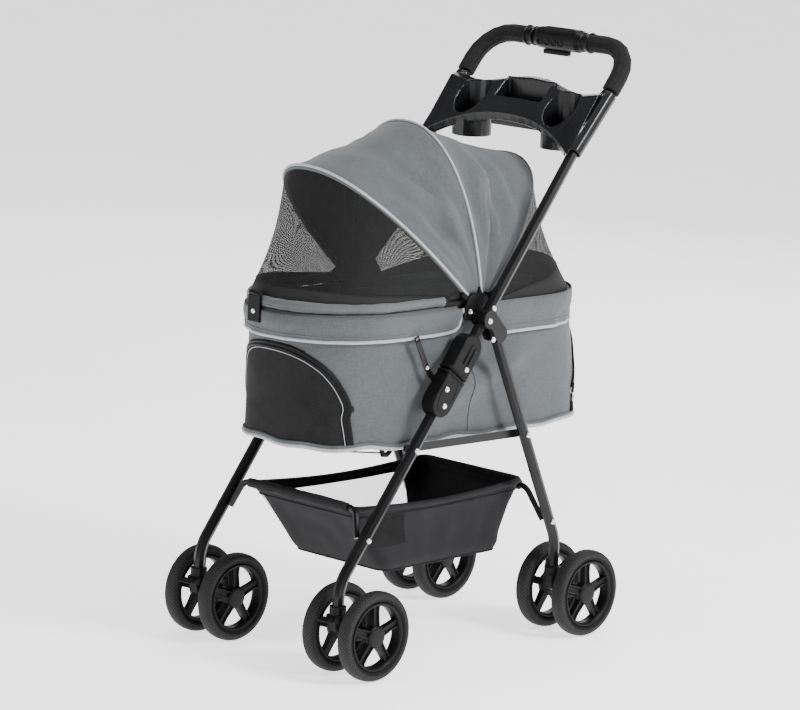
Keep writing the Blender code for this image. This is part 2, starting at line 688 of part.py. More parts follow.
def canopy():
    origin = (0, *CANOPY_PIVOT)
    for name in ("front", "middle", "rear"):
        tube(f"hoop_{name}", hoop_curve(name), HOOP_RADIUS, PAINT, origin, sides=1)
    outside = HOOP_RADIUS + FABRIC + GAP
    count = 21
    start = 0.06
    front = hoop_curve("front", outside, start, count)
    middle = hoop_curve("middle", outside, start, count)
    rear = hoop_curve("rear", outside, start, count)
    seam = 0.02
    shell("canopy_front", [between(front, middle, seam), between(front, middle, 1 - seam)], FABRIC,
          GREY_CLOTH, origin)
    edge_z = RING_Z + RING_RADIUS + FABRIC + GAP
    back = end_curve(RING_HALF_WIDTH, RING_REAR, edge_z, 0.035, 1, count)
    shell("canopy_rear", [between(middle, rear, seam), rear, back], FABRIC, GREY_CLOTH, origin)
    low_z = LID_Z + RING_RADIUS + FABRIC + GAP
    low = end_curve(LID_HALF_WIDTH, RING_FRONT, low_z, -0.06, -1, count)
    shell("front_mesh", [low, between(low, front, 0.97)], FABRIC, MESH_CLOTH, origin)


def lid_latch():
    hinge = (RING_FRONT[0] - RING_FRONT[1] - RING_RADIUS - 0.004, LID_Z)
    outline = [(hinge[0] - 0.003, 0.590), (hinge[0] + 0.0025, 0.590), (hinge[0] + 0.0025, 0.546),
               (hinge[0] - 0.003, 0.546)]
    latch = as_mesh(plate("lid_latch", [outline], 0.026, PLASTIC, (-0.030, *hinge), pivot=hinge))
    round_edges(latch, 0.0015, 1)


def storage_basket():
    bottom = 0.139
    rim = 0.252
    levels = []
    for z, front, rear, wide_front, wide_rear in (
            (bottom, -0.156, 0.126, 0.106, 0.100), (bottom + 0.012, -0.166, 0.133, 0.113, 0.106),
            (rim, -0.238, 0.157, 0.121, 0.112)):
        corner = 0.022
        outline = []
        for cx, cy, begin in ((wide_rear, rear, 0), (-wide_rear, rear, 90), (-wide_front, front, 180),
                              (wide_front, front, 270)):
            centre = (cx - math.copysign(corner, cx), cy - (corner if begin < 180 else -corner))
            outline += circle(centre, corner, 5, math.radians(begin), math.pi / 2)
        levels.append([Vector((px, py, z)) for px, py in outline])
    basket = shell("storage_basket", levels, 0.0025, BLACK_CLOTH, (0, *FOLD_PIN), around=True, floor=True,
                   offset=-1.0)
    level_floor(basket, bottom + 0.0025)


both_sides(front_leg)
both_sides(rear_leg)
handle_parts()
both_sides(fold_lock)
both_sides(leg_bracket)
both_sides(side_link)
basket_hoops()
both_sides(caster_housing)
both_sides(rear_housing)
both_sides(swivel_lock)
both_sides(brake_pedal)
wheel_sets()
cup_tray()
carrier()
canopy()
lid_latch()
storage_basket()
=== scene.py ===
"""Looks of the folding pet stroller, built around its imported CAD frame.

Metres, +Z up, the front casters towards -Y. Every piece rides on a CAD body by name.
"""
import json
import math

import bmesh
import bpy
import numpy as np
from mathutils import Matrix, Vector, noise

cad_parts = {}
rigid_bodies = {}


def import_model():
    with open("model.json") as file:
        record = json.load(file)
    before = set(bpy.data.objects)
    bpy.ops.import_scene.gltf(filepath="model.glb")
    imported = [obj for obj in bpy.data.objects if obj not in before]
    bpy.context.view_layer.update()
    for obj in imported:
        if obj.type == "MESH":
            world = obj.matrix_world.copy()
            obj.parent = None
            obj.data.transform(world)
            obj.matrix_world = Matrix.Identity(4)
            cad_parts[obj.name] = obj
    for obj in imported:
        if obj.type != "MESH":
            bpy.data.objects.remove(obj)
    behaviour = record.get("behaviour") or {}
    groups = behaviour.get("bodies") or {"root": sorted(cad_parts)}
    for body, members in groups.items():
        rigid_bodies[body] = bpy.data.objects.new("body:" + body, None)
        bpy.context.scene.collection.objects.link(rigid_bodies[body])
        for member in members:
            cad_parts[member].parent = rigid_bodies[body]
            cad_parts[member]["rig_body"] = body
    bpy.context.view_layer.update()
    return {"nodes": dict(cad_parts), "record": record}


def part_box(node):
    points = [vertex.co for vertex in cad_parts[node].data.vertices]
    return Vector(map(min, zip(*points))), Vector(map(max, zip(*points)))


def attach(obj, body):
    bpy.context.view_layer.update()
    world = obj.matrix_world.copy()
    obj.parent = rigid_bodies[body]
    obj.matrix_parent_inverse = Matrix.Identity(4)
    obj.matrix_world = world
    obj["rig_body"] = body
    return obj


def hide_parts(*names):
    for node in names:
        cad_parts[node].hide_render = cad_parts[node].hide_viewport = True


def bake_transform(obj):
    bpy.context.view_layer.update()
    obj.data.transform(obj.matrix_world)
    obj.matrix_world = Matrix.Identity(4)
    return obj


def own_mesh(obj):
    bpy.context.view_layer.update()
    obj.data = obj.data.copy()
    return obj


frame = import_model()
NODES = frame["nodes"]

SIDES = (("left", -1), ("right", 1))


# ---------------------------------------------------------------- places, from the frame
def centre(node):
    low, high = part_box(node)
    return (low + high) / 2


WHEEL_RADIUS = (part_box("tyre_front_left_outer")[1].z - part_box("tyre_front_left_outer")[0].z) / 2
TYRE_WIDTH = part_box("tyre_front_left_outer")[1].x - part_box("tyre_front_left_outer")[0].x
RIM_RADIUS = (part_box("rim_front_left_outer")[1].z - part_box("rim_front_left_outer")[0].z) / 2
LEG_X = centre("lock_casing_right").x
RING_LOW, RING_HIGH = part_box("carrier_ring")
RING_Z = centre("carrier_ring").z
RING_BAR = (RING_HIGH.z - RING_LOW.z) / 2
RING_HALF_WIDTH = RING_HIGH.x - RING_BAR
RING_FRONT = (-0.178, -0.178 - RING_LOW.y - RING_BAR)       # centre and reach of the front end
RING_REAR = (0.166, RING_HIGH.y - RING_BAR - 0.166)
LID_Z = centre("lid_ring").z
LID_HALF_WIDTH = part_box("lid_ring")[1].x - RING_BAR
BAG_FLOOR_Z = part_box("carrier_body")[0].z
HOOP_HALF_WIDTH = 0.141
HOOP_POWER = 2.25
HOOPS = {                                                   # foot (y, z), angle from +Y, top radius
    "front": ((-0.024, 0.584), math.radians(138.5), 0.314),
    "middle": ((0.004, 0.584), math.radians(99.5), 0.270),
    "rear": ((0.022, 0.584), math.radians(48.0), 0.272),
}
HOOP_BODIES = {"front": "canopy_front_hoop", "middle": "canopy_middle", "rear": "carrier"}
LEG_SLOPE = math.radians(52.8)
FOLD_POINT = Vector((0, -0.0734, 0.4635))
BASKET_LOW, BASKET_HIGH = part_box("storage_basket")
FLOOR_REACH = 30.0


# ---------------------------------------------------------------- materials
class Look:
    """A node material under construction."""

    def __init__(self, name, roughness, metallic=0.0, specular=0.3):
        self.material = bpy.data.materials.new(name)
        self.material.use_nodes = True
        self.tree = self.material.node_tree
        self.shader = self.tree.nodes["Principled BSDF"]
        self.shader.inputs["Roughness"].default_value = roughness
        self.shader.inputs["Metallic"].default_value = metallic
        self.shader.inputs["Specular IOR Level"].default_value = specular

    def node(self, kind, **settings):
        made = self.tree.nodes.new(kind)
        for key, value in settings.items():
            setattr(made, key, value)
        return made

    def link(self, start, end):
        self.tree.links.new(start, end)

    def coordinates(self, kind="Object", scale=(1, 1, 1)):
        source = self.node("ShaderNodeTexCoord")
        mapping = self.node("ShaderNodeMapping")
        mapping.inputs["Scale"].default_value = scale
        self.link(source.outputs[kind], mapping.inputs["Vector"])
        return mapping.outputs["Vector"]

    def noise(self, scale, detail=3.0, where=None, rough=0.55):
        made = self.node("ShaderNodeTexNoise")
        made.inputs["Scale"].default_value = scale
        made.inputs["Detail"].default_value = detail
        made.inputs["Roughness"].default_value = rough
        self.link(where or self.coordinates(), made.inputs["Vector"])
        return made.outputs["Fac"]

    def ramp(self, value, stops):
        made = self.node("ShaderNodeValToRGB")
        elements = made.color_ramp.elements
        while len(elements) < len(stops):
            elements.new(0.5)
        for element, (position, colour) in zip(elements, stops):
            element.position = position
            element.color = (*colour, 1.0)
        self.link(value, made.inputs["Fac"])
        return made.outputs["Color"]

    def math(self, operation, first, second=None):
        made = self.node("ShaderNodeMath", operation=operation)
        for socket, value in zip(made.inputs, (first, second)):
            if value is None:
                continue
            if isinstance(value, (int, float)):
                socket.default_value = value
            else:
                self.link(value, socket)
        return made.outputs["Value"]

    def span(self, value, low, high):
        """value, from 0 to 1, stretched to low and high."""
        made = self.node("ShaderNodeMapRange")
        made.inputs["To Min"].default_value = low
        made.inputs["To Max"].default_value = high
        self.link(value, made.inputs["Value"])
        return made.outputs["Result"]

    def bump(self, height, strength, distance):
        made = self.node("ShaderNodeBump")
        made.inputs["Strength"].default_value = strength
        made.inputs["Distance"].default_value = distance
        self.link(height, made.inputs["Height"])
        self.link(made.outputs["Normal"], self.shader.inputs["Normal"])

    def threads(self, pitch):
        """Height of a plain weave over the UV map, which is in metres."""
        uv = self.node("ShaderNodeTexCoord").outputs["UV"]
        parts = self.node("ShaderNodeSeparateXYZ")
        self.link(uv, parts.inputs["Vector"])
        turn = math.pi / pitch
        across = self.math("SINE", self.math("MULTIPLY", parts.outputs["X"], turn))
        along = self.math("SINE", self.math("MULTIPLY", parts.outputs["Y"], turn))
        return self.math("MULTIPLY", across, along), across, along


def cloth(name, colour, pitch=0.0011, variation=0.16, sheen=0.25, roughness=0.82):
    look = Look(name, roughness)
    weave, _, _ = look.threads(pitch)
    slub = look.noise(1.0, 2.0, look.coordinates("UV", (520, 60, 1)))
    cross_slub = look.noise(1.0, 2.0, look.coordinates("UV", (60, 520, 1)))
    cloud = look.noise(9.0, 3.0)
    tone = look.math("ADD", look.math("MULTIPLY", slub, 0.35), look.math("MULTIPLY", cross_slub, 0.35))
    tone = look.math("ADD", tone, look.math("MULTIPLY", cloud, 0.3))
    tone = look.math("ADD", tone, look.math("MULTIPLY", weave, 0.05))
    dark = [c * (1 - variation) for c in colour]
    light = [c * (1 + variation) for c in colour]
    look.link(look.ramp(tone, [(0.34, dark), (0.66, light)]), look.shader.inputs["Base Color"])
    look.link(look.span(cloud, roughness - 0.07, roughness + 0.07), look.shader.inputs["Roughness"])
    look.shader.inputs["Sheen Weight"].default_value = sheen
    look.shader.inputs["Sheen Roughness"].default_value = 0.45
    height = look.math("ADD", look.math("MULTIPLY", weave, 0.5), look.math("ADD", slub, cross_slub))
    look.bump(height, 0.35, 0.0004)
    return look.material


def net(name, colour, pitch, thread):
    """Open mesh cloth: threads of the given share of the pitch, on two diagonals."""
    look = Look(name, 0.75)
    uv = look.node("ShaderNodeTexCoord").outputs["UV"]
    parts = look.node("ShaderNodeSeparateXYZ")
    look.link(uv, parts.inputs["Vector"])
    covers = []
    for operation in ("ADD", "SUBTRACT"):
        diagonal = look.math(operation, parts.outputs["X"], parts.outputs["Y"])
        wave = look.math("PINGPONG", look.math("MULTIPLY", diagonal, 1 / pitch), 0.5)
        covers.append(look.math("LESS_THAN", wave, thread / 2))
    cover = look.math("MAXIMUM", *covers)
    look.link(cover, look.shader.inputs["Alpha"])
    shade = look.noise(60.0, 2.0)
    look.link(look.ramp(shade, [(0.3, [c * 0.7 for c in colour]), (0.7, [c * 1.4 for c in colour])]),
              look.shader.inputs["Base Color"])
    return look.material


def paint(name, colour):
    look = Look(name, 0.3, specular=0.2)
    peel = look.noise(240.0, 2.0)
    dust = look.noise(14.0, 4.0)
    look.link(look.ramp(dust, [(0.35, colour), (0.8, [c * 1.7 for c in colour])]),
              look.shader.inputs["Base Color"])
    look.link(look.span(dust, 0.22, 0.4), look.shader.inputs["Roughness"])
    look.shader.inputs["Coat Weight"].default_value = 0.12
    look.shader.inputs["Coat Roughness"].default_value = 0.12
    look.bump(peel, 0.06, 0.0004)
    return look.material


def plastic(name, colour, roughness, grain=900.0, depth=0.12, specular=0.14):
    look = Look(name, roughness, specular=specular)
    skin = look.noise(grain, 2.0)
    wear = look.noise(22.0, 4.0)
    look.link(look.ramp(wear, [(0.3, [c * 0.8 for c in colour]), (0.75, [c * 1.35 for c in colour])]),
              look.shader.inputs["Base Color"])
    look.link(look.span(wear, roughness - 0.08, roughness + 0.1), look.shader.inputs["Roughness"])
    look.bump(skin, depth, 0.0003)
    return look.material


def foam(name, colour):
    look = Look(name, 0.9)
    cells = look.node("ShaderNodeTexVoronoi")
    cells.inputs["Scale"].default_value = 1100.0
    look.link(look.coordinates(), cells.inputs["Vector"])
    patch = look.noise(45.0, 3.0)
    look.link(look.ramp(patch, [(0.3, [c * 0.75 for c in colour]), (0.75, [c * 1.4 for c in colour])]),
              look.shader.inputs["Base Color"])
    look.bump(cells.outputs["Distance"], 0.4, 0.0005)
    return look.material


def tread(name, colour, pitch=0.0062):
    """Rubber with raised diamonds, over a UV map in metres; the grooves are painted darker as painted shade
    and the diamond tops lighter as a painted highlight.
    """
    look = Look(name, 0.7)
    uv = look.node("ShaderNodeTexCoord").outputs["UV"]
    parts = look.node("ShaderNodeSeparateXYZ")
    look.link(uv, parts.inputs["Vector"])
    grooves = []
    for operation in ("ADD", "SUBTRACT"):
        diagonal = look.math(operation, parts.outputs["X"], parts.outputs["Y"])
        wave = look.math("PINGPONG", look.math("MULTIPLY", diagonal, 1 / pitch), 0.5)
        grooves.append(look.math("GREATER_THAN", wave, 0.13))
    block_and_groove_shade = look.math("MINIMUM", *grooves)
    # painted shade in the grooves (0.25 of the rubber colour) and a painted highlight on the raised diamonds
    # (2.2 of it); the same mask also drives the bump
    look.link(look.ramp(block_and_groove_shade, [(0.2, [c * 0.25 for c in colour]), (0.8, [c * 2.2 for c in colour])]),
              look.shader.inputs["Base Color"])
    look.link(look.span(look.noise(30.0), 0.6, 0.8), look.shader.inputs["Roughness"])
    look.bump(block_and_groove_shade, 0.9, 0.0012)
    return look.material


def metal(name, colour, roughness):
    look = Look(name, roughness, 1.0)
    scratch = look.noise(1.0, 3.0, look.coordinates("Object", (60, 900, 900)))
    look.link(look.ramp(scratch, [(0.3, [c * 0.75 for c in colour]), (0.7, colour)]),
              look.shader.inputs["Base Color"])
    look.link(look.span(scratch, roughness - 0.06, roughness + 0.12), look.shader.inputs["Roughness"])
    look.bump(scratch, 0.08, 0.0002)
    return look.material


GREY = cloth("grey_oxford", (0.080, 0.088, 0.094), variation=0.26, sheen=0.18)
GREY_KNIT = cloth("grey_knit", (0.095, 0.103, 0.109), pitch=0.0016, variation=0.22)
PIPING = cloth("pale_piping", (0.36, 0.38, 0.40), pitch=0.0012, variation=0.1, sheen=0.4, roughness=0.6)
LINING = cloth("dark_lining", (0.012, 0.012, 0.0125), variation=0.3, sheen=0.02)
BLACK = cloth("black_oxford", (0.0075, 0.0075, 0.009), variation=0.35, sheen=0.02)
WEBBING = cloth("black_webbing", (0.005, 0.005, 0.0055), pitch=0.0016, variation=0.4, sheen=0.0)
NET = net("black_net", (0.005, 0.005, 0.005), 0.0030, 0.50)
DOOR_NET = net("door_net", (0.007, 0.007, 0.007), 0.0026, 0.52)
BASKET_NET = net("basket_net", (0.02, 0.02, 0.021), 0.0040, 0.17)
PAINT = paint("black_paint_look", (0.0035, 0.0035, 0.004))
PLASTIC = plastic("black_plastic_look", (0.0045, 0.0045, 0.005), 0.38)
TRAY_PLASTIC = plastic("tray_plastic_look", (0.006, 0.0062, 0.0075), 0.26, grain=1300.0, depth=0.08,
                       specular=0.35)
WHEEL_PLASTIC = plastic("wheel_plastic_look", (0.0055, 0.0055, 0.006), 0.42)
RUBBER = plastic("tyre_rubber_look", (0.008, 0.008, 0.0085), 0.74, grain=1600.0, depth=0.25)
FOAM = foam("foam_look", (0.0065, 0.0065, 0.007))
TREAD = tread("tyre_tread_look", (0.008, 0.008, 0.0085))
STEEL = metal("bright_steel_look", (0.78, 0.79, 0.80), 0.26)


# ---------------------------------------------------------------- mesh tools
def sheet_mesh(name, rows, looks, across=False, around=False, pick=None):
    """A smooth grid through rows of points, with a UV map in metres."""
    mesh = bpy.data.meshes.new(name)
    work = bmesh.new()
    uv = work.loops.layers.uv.new("UVMap")
    grid = [[work.verts.new(p) for p in row] for row in rows]
    middle = rows[len(rows) // 2]
    run = [0.0]
    for a, b in zip(middle, middle[1:] + middle[:1]):
        run.append(run[-1] + (Vector(b) - Vector(a)).length)
    rise = [0.0]
    half = len(middle) // 2
    for low, high in zip(rows, rows[1:] + rows[:1]):
        rise.append(rise[-1] + (Vector(high[half]) - Vector(low[half])).length)
    for r in range(len(rows) if around else len(rows) - 1):
        low, high = grid[r], grid[(r + 1) % len(grid)]
        for c in range(len(low) if across else len(low) - 1):
            d = (c + 1) % len(low)
            face = work.faces.new((low[c], low[d], high[d], high[c]))
            face.smooth = True
            if pick:
                face.material_index = pick(r, c)
            for loop, at in zip(face.loops, ((c, r), (c + 1, r), (c + 1, r + 1), (c, r + 1))):
                loop[uv].uv = (run[at[0]], rise[at[1]])
    bmesh.ops.recalc_face_normals(work, faces=work.faces)
    work.to_mesh(mesh)
    work.free()
    for look in looks:
        mesh.materials.append(look)
    return put(bpy.data.objects.new(name, mesh))


def outward(point, flatten=0.5):
    """The level direction away from the middle, turned towards the sides."""
    return Vector((point.x, point.y * flatten, 0)).normalized()


def signed_power(value, power):
    """A sine or cosine raised to a power with its sign kept."""
    return math.copysign(abs(value) ** power, value)


def put(item):
    bpy.context.scene.collection.objects.link(item)
    return item


def thicken(item, amount, offset=0.0, inner=0):
    solid = item.modifiers.new("thickness", "SOLIDIFY")
    solid.thickness = amount
    solid.offset = offset
    solid.material_offset = inner
    solid.use_even_offset = False
    return item


def refine(item, levels=1):
    made = item.modifiers.new("smooth", "SUBSURF")
    made.levels = levels
    made.render_levels = levels
    return item


def tube(name, points, radius, look, sides=10, closed=False, flat=None):
    """A round or flat bar along points; radius is a number or one per point, flat is (up, thickness)."""
    points = [Vector(p) for p in points]
    count = len(points)
    sizes = radius if isinstance(radius, (list, tuple)) else [radius] * count
    rows = []
    side = None
    for i, point in enumerate(points):
        before = points[i - 1] if i or closed else point
        after = points[(i + 1) % count] if i < count - 1 or closed else point
        ahead = (after - before).normalized()
        if flat:
            side = (Vector(flat[0]) - ahead * ahead.dot(Vector(flat[0]))).normalized()
        elif side is None:
            spare = Vector((1, 0, 0)) if abs(ahead.x) < 0.7 else Vector((0, 0, 1))
            side = spare.cross(ahead).normalized()
        else:
            side = (side - ahead * ahead.dot(side)).normalized()
        other = ahead.cross(side)
        depth = flat[1] if flat else None
        row = []
        for step in range(sides):
            angle = 2 * math.pi * step / sides
            c, s = math.cos(angle), math.sin(angle)
            if flat:
                c, s = signed_power(c, 0.4), signed_power(s, 0.4)
            row.append(point + side * c * sizes[i] + other * s * (depth if flat else sizes[i]))
        rows.append(row)
    made = sheet_mesh(name, rows, [look], across=True, around=closed)
    if not closed:
        work = bmesh.new()
        work.from_mesh(made.data)
        for edge_loop in (range(sides), range((count - 1) * sides, count * sides)):
            work.verts.ensure_lookup_table()
            work.faces.new([work.verts[i] for i in edge_loop])
        bmesh.ops.recalc_face_normals(work, faces=work.faces)
        work.to_mesh(made.data)
        work.free()
    return made


def lathe(name, profile, look, origin, axis=(1, 0, 0), steps=32, closed=False):
    """A profile of (radius, height) turned about an axis."""
    turn = Vector((0, 0, 1)).rotation_difference(Vector(axis)).to_matrix()
    rows = []
    for step in range(steps):
        angle = 2 * math.pi * step / steps
        rows.append([Vector(origin) + turn @ Vector((r * math.cos(angle), r * math.sin(angle), h))
                     for r, h in profile])
    return sheet_mesh(name, rows, [look], across=closed, around=True)


def rivet(name, body, point, axis, radius=0.0045, look=None):
    """A domed head with a driven-in centre."""
    r = radius
    profile = [(0.0002, 0.0009), (r * 0.34, 0.0009), (r * 0.42, 0.0021), (r * 0.72, 0.0020),
               (r * 0.93, 0.0014), (r, 0.0004), (r, -0.0008)]
    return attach(lathe(name, profile, look or STEEL, point, axis, 20), body)


def weld(item):
    """Close a lathe's tiny centre hole."""
    work = bmesh.new()
    work.from_mesh(item.data)
    bmesh.ops.remove_doubles(work, verts=work.verts, dist=0.0004)
    work.to_mesh(item.data)
    work.free()
    return item


def join(name, items):
    """One object from several, at their places."""
    work = bmesh.new()
    looks = []
    work.loops.layers.uv.new("UVMap")
    for item in items:
        offset = len(looks)
        looks += list(item.data.materials)
        start = len(work.faces)
        copy = item.data.copy()
        copy.transform(item.matrix_world)
        work.from_mesh(copy)
        work.faces.ensure_lookup_table()
        for face in work.faces[start:]:
            face.material_index += offset
        bpy.data.meshes.remove(copy)
        bpy.data.objects.remove(item, do_unlink=True)
    mesh = bpy.data.meshes.new(name)
    work.to_mesh(mesh)
    work.free()
    for look in looks:
        mesh.materials.append(look)
    return put(bpy.data.objects.new(name, mesh))


def moulded(node, voxel, look, passes=4):
    """A CAD node's shape with the soft edges of a moulding, as a piece that stands for it."""
    source = NODES[node]
    piece = bpy.data.objects.new(f"{node}_moulded", source.data.copy())
    put(piece)
    remesh = piece.modifiers.new("remesh", "REMESH")
    remesh.mode = "VOXEL"
    remesh.voxel_size = voxel
    remesh.use_smooth_shade = True
    soften = piece.modifiers.new("soften", "SMOOTH")
    soften.factor = 0.5
    soften.iterations = passes
    bake(piece)
    piece.data.materials.clear()
    piece.data.materials.append(look)
    for polygon in piece.data.polygons:
        polygon.material_index = 0
        polygon.use_smooth = True
    body = source["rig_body"]
    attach(piece, body)
    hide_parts(node)
    return piece


def bake(item):
    """Apply all of a piece's modifiers."""
    bpy.context.view_layer.update()
    graph = bpy.context.evaluated_depsgraph_get()
    mesh = bpy.data.meshes.new_from_object(item.evaluated_get(graph))
    item.modifiers.clear()
    item.data = mesh
    return item


# ---------------------------------------------------------------- shared curves
def resample(points, count):
    path = np.array([tuple(p) for p in points], dtype=float)
    run = np.concatenate([[0.0], np.cumsum(np.linalg.norm(np.diff(path, axis=0), axis=1))])
    return [Vector([np.interp(w, run, path[:, axis]) for axis in range(3)])
            for w in np.linspace(0.0, run[-1], count)]


def hoop(name, grow=0.0, start=0.004, count=61):
    """A canopy hoop's arch, from its right foot to its left foot."""
    (foot_y, foot_z), lean, top = HOOPS[name]
    points = []
    for step in range(97):
        angle = math.pi * (start + (1 - 2 * start) * step / 96)
        c, s = math.cos(angle), math.sin(angle)
        x = (HOOP_HALF_WIDTH + grow) * signed_power(c, 2 / HOOP_POWER)
        reach = (top + grow) * abs(s) ** (2 / HOOP_POWER)
        points.append(Vector((x, foot_y + reach * math.cos(lean), foot_z + reach * math.sin(lean))))
    return resample(points, count)


def ring_curve(half_width, z, front=True, start_y=0.0, count=61, grow=0.0):
    """Half of the ring, as a U from the right side, round one end, to the left side."""
    centre_y, reach = RING_FRONT if front else RING_REAR
    sign = -1 if front else 1
    arc = [Vector((half_width * math.cos(math.pi * s / 48),
                   centre_y + sign * (reach + grow) * math.sin(math.pi * s / 48), z)) for s in range(49)]
    ends = [Vector((half_width, start_y, z))], [Vector((-half_width, start_y, z))]
    return resample(ends[0] + arc + ends[1], count)


def ripple(point, scale, amount, seed=0.0):
    """Smooth displacement that is the same each run."""
    return (noise.noise(Vector(point) * scale + Vector((seed, seed * 0.7, 0)))) * amount


def leg_point(x, along, forward=0.0):
    """A point on the leg's line at x, measured from the fold joint."""
    y = FOLD_POINT.y + along * math.cos(LEG_SLOPE) - forward * math.sin(LEG_SLOPE)
    z = FOLD_POINT.z + along * math.sin(LEG_SLOPE) + forward * math.cos(LEG_SLOPE)
    return Vector((x, y, z))


# ---------------------------------------------------------------- canopy
def tension_panel(name, first, second, dip, looks, rows=25, crease=0.0130, seed=1.0):
    """Cloth pulled between two arches: it dips between them and creases towards their feet."""
    lines = []
    for r in range(rows):
        t = r / (rows - 1)
        line = []
        for i, (a, b) in enumerate(zip(first, second)):
            s = i / (len(first) - 1)
            point = a.lerp(b, t)
            inward = (Vector((0, 0.0, 0.60)) - point).normalized()
            crown = math.sin(math.pi * s)
            bow = math.sin(math.pi * t)
            flank = 0.12 + math.sin(2 * math.pi * s) ** 2
            wave = math.sin(3.2 * t * math.pi + 9 * abs(s - 0.5)) * 0.35
            fold = wave + ripple((t * 5, s * 11 + t * 3, seed), 1.0, 1.6)
            depth = dip * bow * (0.35 + 0.65 * crown) + crease * bow * fold * flank
            line.append(point + inward * depth)
        lines.append(line)
    panel = sheet_mesh(name, lines, looks)
    thicken(panel, 0.0012, 0.0, inner=1)
    return panel


def canopy():
    outside = 0.0020
    front = hoop("front", outside)
    middle = hoop("middle", outside)
    rear = hoop("rear", outside)
    looks = [GREY, LINING]

    front_panel = tension_panel("canopy_front_cloth", front, middle, 0.006, looks, seed=2.0)
    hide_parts("canopy_front")
    rear_panel = tension_panel("canopy_rear_cloth", middle, rear, 0.008, looks, seed=5.0)
    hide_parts("canopy_rear")

    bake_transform(front_panel)
    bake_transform(rear_panel)

    # front window: net from the front hoop down to the lid, with an opaque strip along the lid
    lid = ring_curve(LID_HALF_WIDTH + 0.003, LID_Z + 0.006, True, -0.062)
    window = []
    strip = []
    for r in range(19):
        t = r / 18
        row = []
        for i, (a, b) in enumerate(zip(lid, front)):
            s = i / 60
            point = a.lerp(b, t)
            inward = (Vector((0, -0.05, 0.62)) - point).normalized()
            row.append(point + inward * (0.010 * math.sin(math.pi * t) * math.sin(math.pi * s)))
        (strip if t < 0.10 else window).append(row)
    strip.append(window[0])
    net_panel = sheet_mesh("front_net_window", window, [NET])
    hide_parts("front_mesh")
    hem = thicken(sheet_mesh("front_net_hem", strip, [LINING, LINING]), 0.0010)
    seam_path = [p + Vector((0, 0, 0.0005)) for p in window[0]]
    seam = tube("front_net_seam", seam_path, 0.0013, WEBBING, 6)
    for item in (net_panel, hem, seam):
        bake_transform(item)

    # rear window: net from the rear hoop down to the ring, with an opaque strip above the skirt
    back = ring_curve(RING_HALF_WIDTH + 0.006, RING_Z + 0.006, False, 0.034)
    upper = []
    lower = []
    for r in range(19):
        t = r / 18
        row = []
        for i, (a, b) in enumerate(zip(back, rear)):
            s = i / 60
            point = a.lerp(b, t)
            inward = (Vector((0, 0.05, 0.62)) - point).normalized()
            row.append(point + inward * (0.012 * math.sin(math.pi * t) * math.sin(math.pi * s)))
        (lower if t < 0.17 else upper).append(row)
    lower.append(upper[0])
    rear_net = sheet_mesh("rear_net_window", upper, [NET])
    rear_hem = thicken(sheet_mesh("rear_net_hem", lower, [LINING, LINING]), 0.0010)
    rear_seam = tube("rear_net_seam", upper[0], 0.0013, WEBBING, 6)
    for item, name in ((rear_net, "mesh_cloth"), (rear_hem, "black_cloth"), (rear_seam, "black_cloth")):
        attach(item, "carrier")

    # sleeves round the hoops, with pale piping along the outer edge
    for name, body in HOOP_BODIES.items():
        sleeve = tube(f"hoop_sleeve_{name}", hoop(name, -0.0012), 0.0050, GREY, 10)
        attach(sleeve, body)
        if name != "rear":
            bead = tube(f"hoop_piping_{name}", hoop(name, 0.0038), 0.0022, PIPING, 8)
            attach(bead, body)
        lining = tube(f"hoop_binding_{name}", hoop(name, -0.0056), 0.0026, LINING, 8)
        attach(lining, body)


# ---------------------------------------------------------------- carrier
def bag_outline(z_share, count=160):
    """The bag's outline at a height share, 0 at the floor and 1 at the ring, from the rear middle."""
    width = 0.128 + (RING_HALF_WIDTH + 0.001 - 0.128) * z_share ** 0.7
    ends = []
    for (y, reach), low_y, low_reach, low_power in ((RING_REAR, 0.205, 0.108, 2.7),
                                                    (RING_FRONT, -0.180, 0.133, 2.5)):
        ends.append((low_y + (y - low_y) * z_share ** 1.6, low_reach + (reach - low_reach) * z_share ** 0.8,
                     low_power + (2.0 - low_power) * z_share))
    points = []
    for (y, reach, power), sign, start in ((ends[0], 1, 0.0), (ends[1], -1, math.pi)):
        for step in range(49):
            angle = start + math.pi * step / 48
            c, s = math.cos(angle), math.sin(angle)
            points.append(Vector((width * signed_power(c, 2 / power),
                                  y + sign * reach * abs(s) ** (2 / power), 0)))
    points.append(points[0])
    shifted = resample(points, count + 1)[:-1]
    turn = max(range(count), key=lambda i: shifted[i].y - abs(shifted[i].x) * 0.2)
    return shifted[turn:] + shifted[:turn]


BAG_TOP_Z = RING_Z - 0.004
BAG_COLUMNS = 160
BAG_ROWS = 27


def bag_surface():
    """Rows of points of the bag's cloth wall, floor first, with its sag and creases."""
    rows = []
    for r in range(BAG_ROWS):
        share = r / (BAG_ROWS - 1)
        z = BAG_FLOOR_Z + 0.004 + (BAG_TOP_Z - BAG_FLOOR_Z - 0.004) * share
        row = []
        for i, point in enumerate(bag_outline(share, BAG_COLUMNS)):
            along = i / BAG_COLUMNS
            out = outward(point)
            belly = math.sin(math.pi * share)
            from_door = min(along, abs(along - 0.5), 1 - along) * 0.93 - 0.120
            loose = belly * min(max(from_door / 0.06, 0.12), 1.0)
            crease = ripple((along * 26 + share * 2.5, share * 2.0, 3.0), 1.0, 0.0110) * loose
            fold = ripple((along * 12 - share * 4, share * 1.5, 9.0), 1.0, 0.0150) * loose
            bottom = ripple((along * 30, 4.0, 1.0), 1.0, 0.0050) * (1 - share) ** 3
            sag = 0.006 * math.sin(math.pi * (point.y + 0.30) / 0.60)
            drop = (ripple((along * 24, 8.0, 1.0), 1.0, 0.0060) + sag) * (1 - share) ** 4
            row.append(Vector((point.x, point.y, z - drop)) + out * (crease + fold - 0.002 * belly + bottom))
        rows.append(row)
    return rows


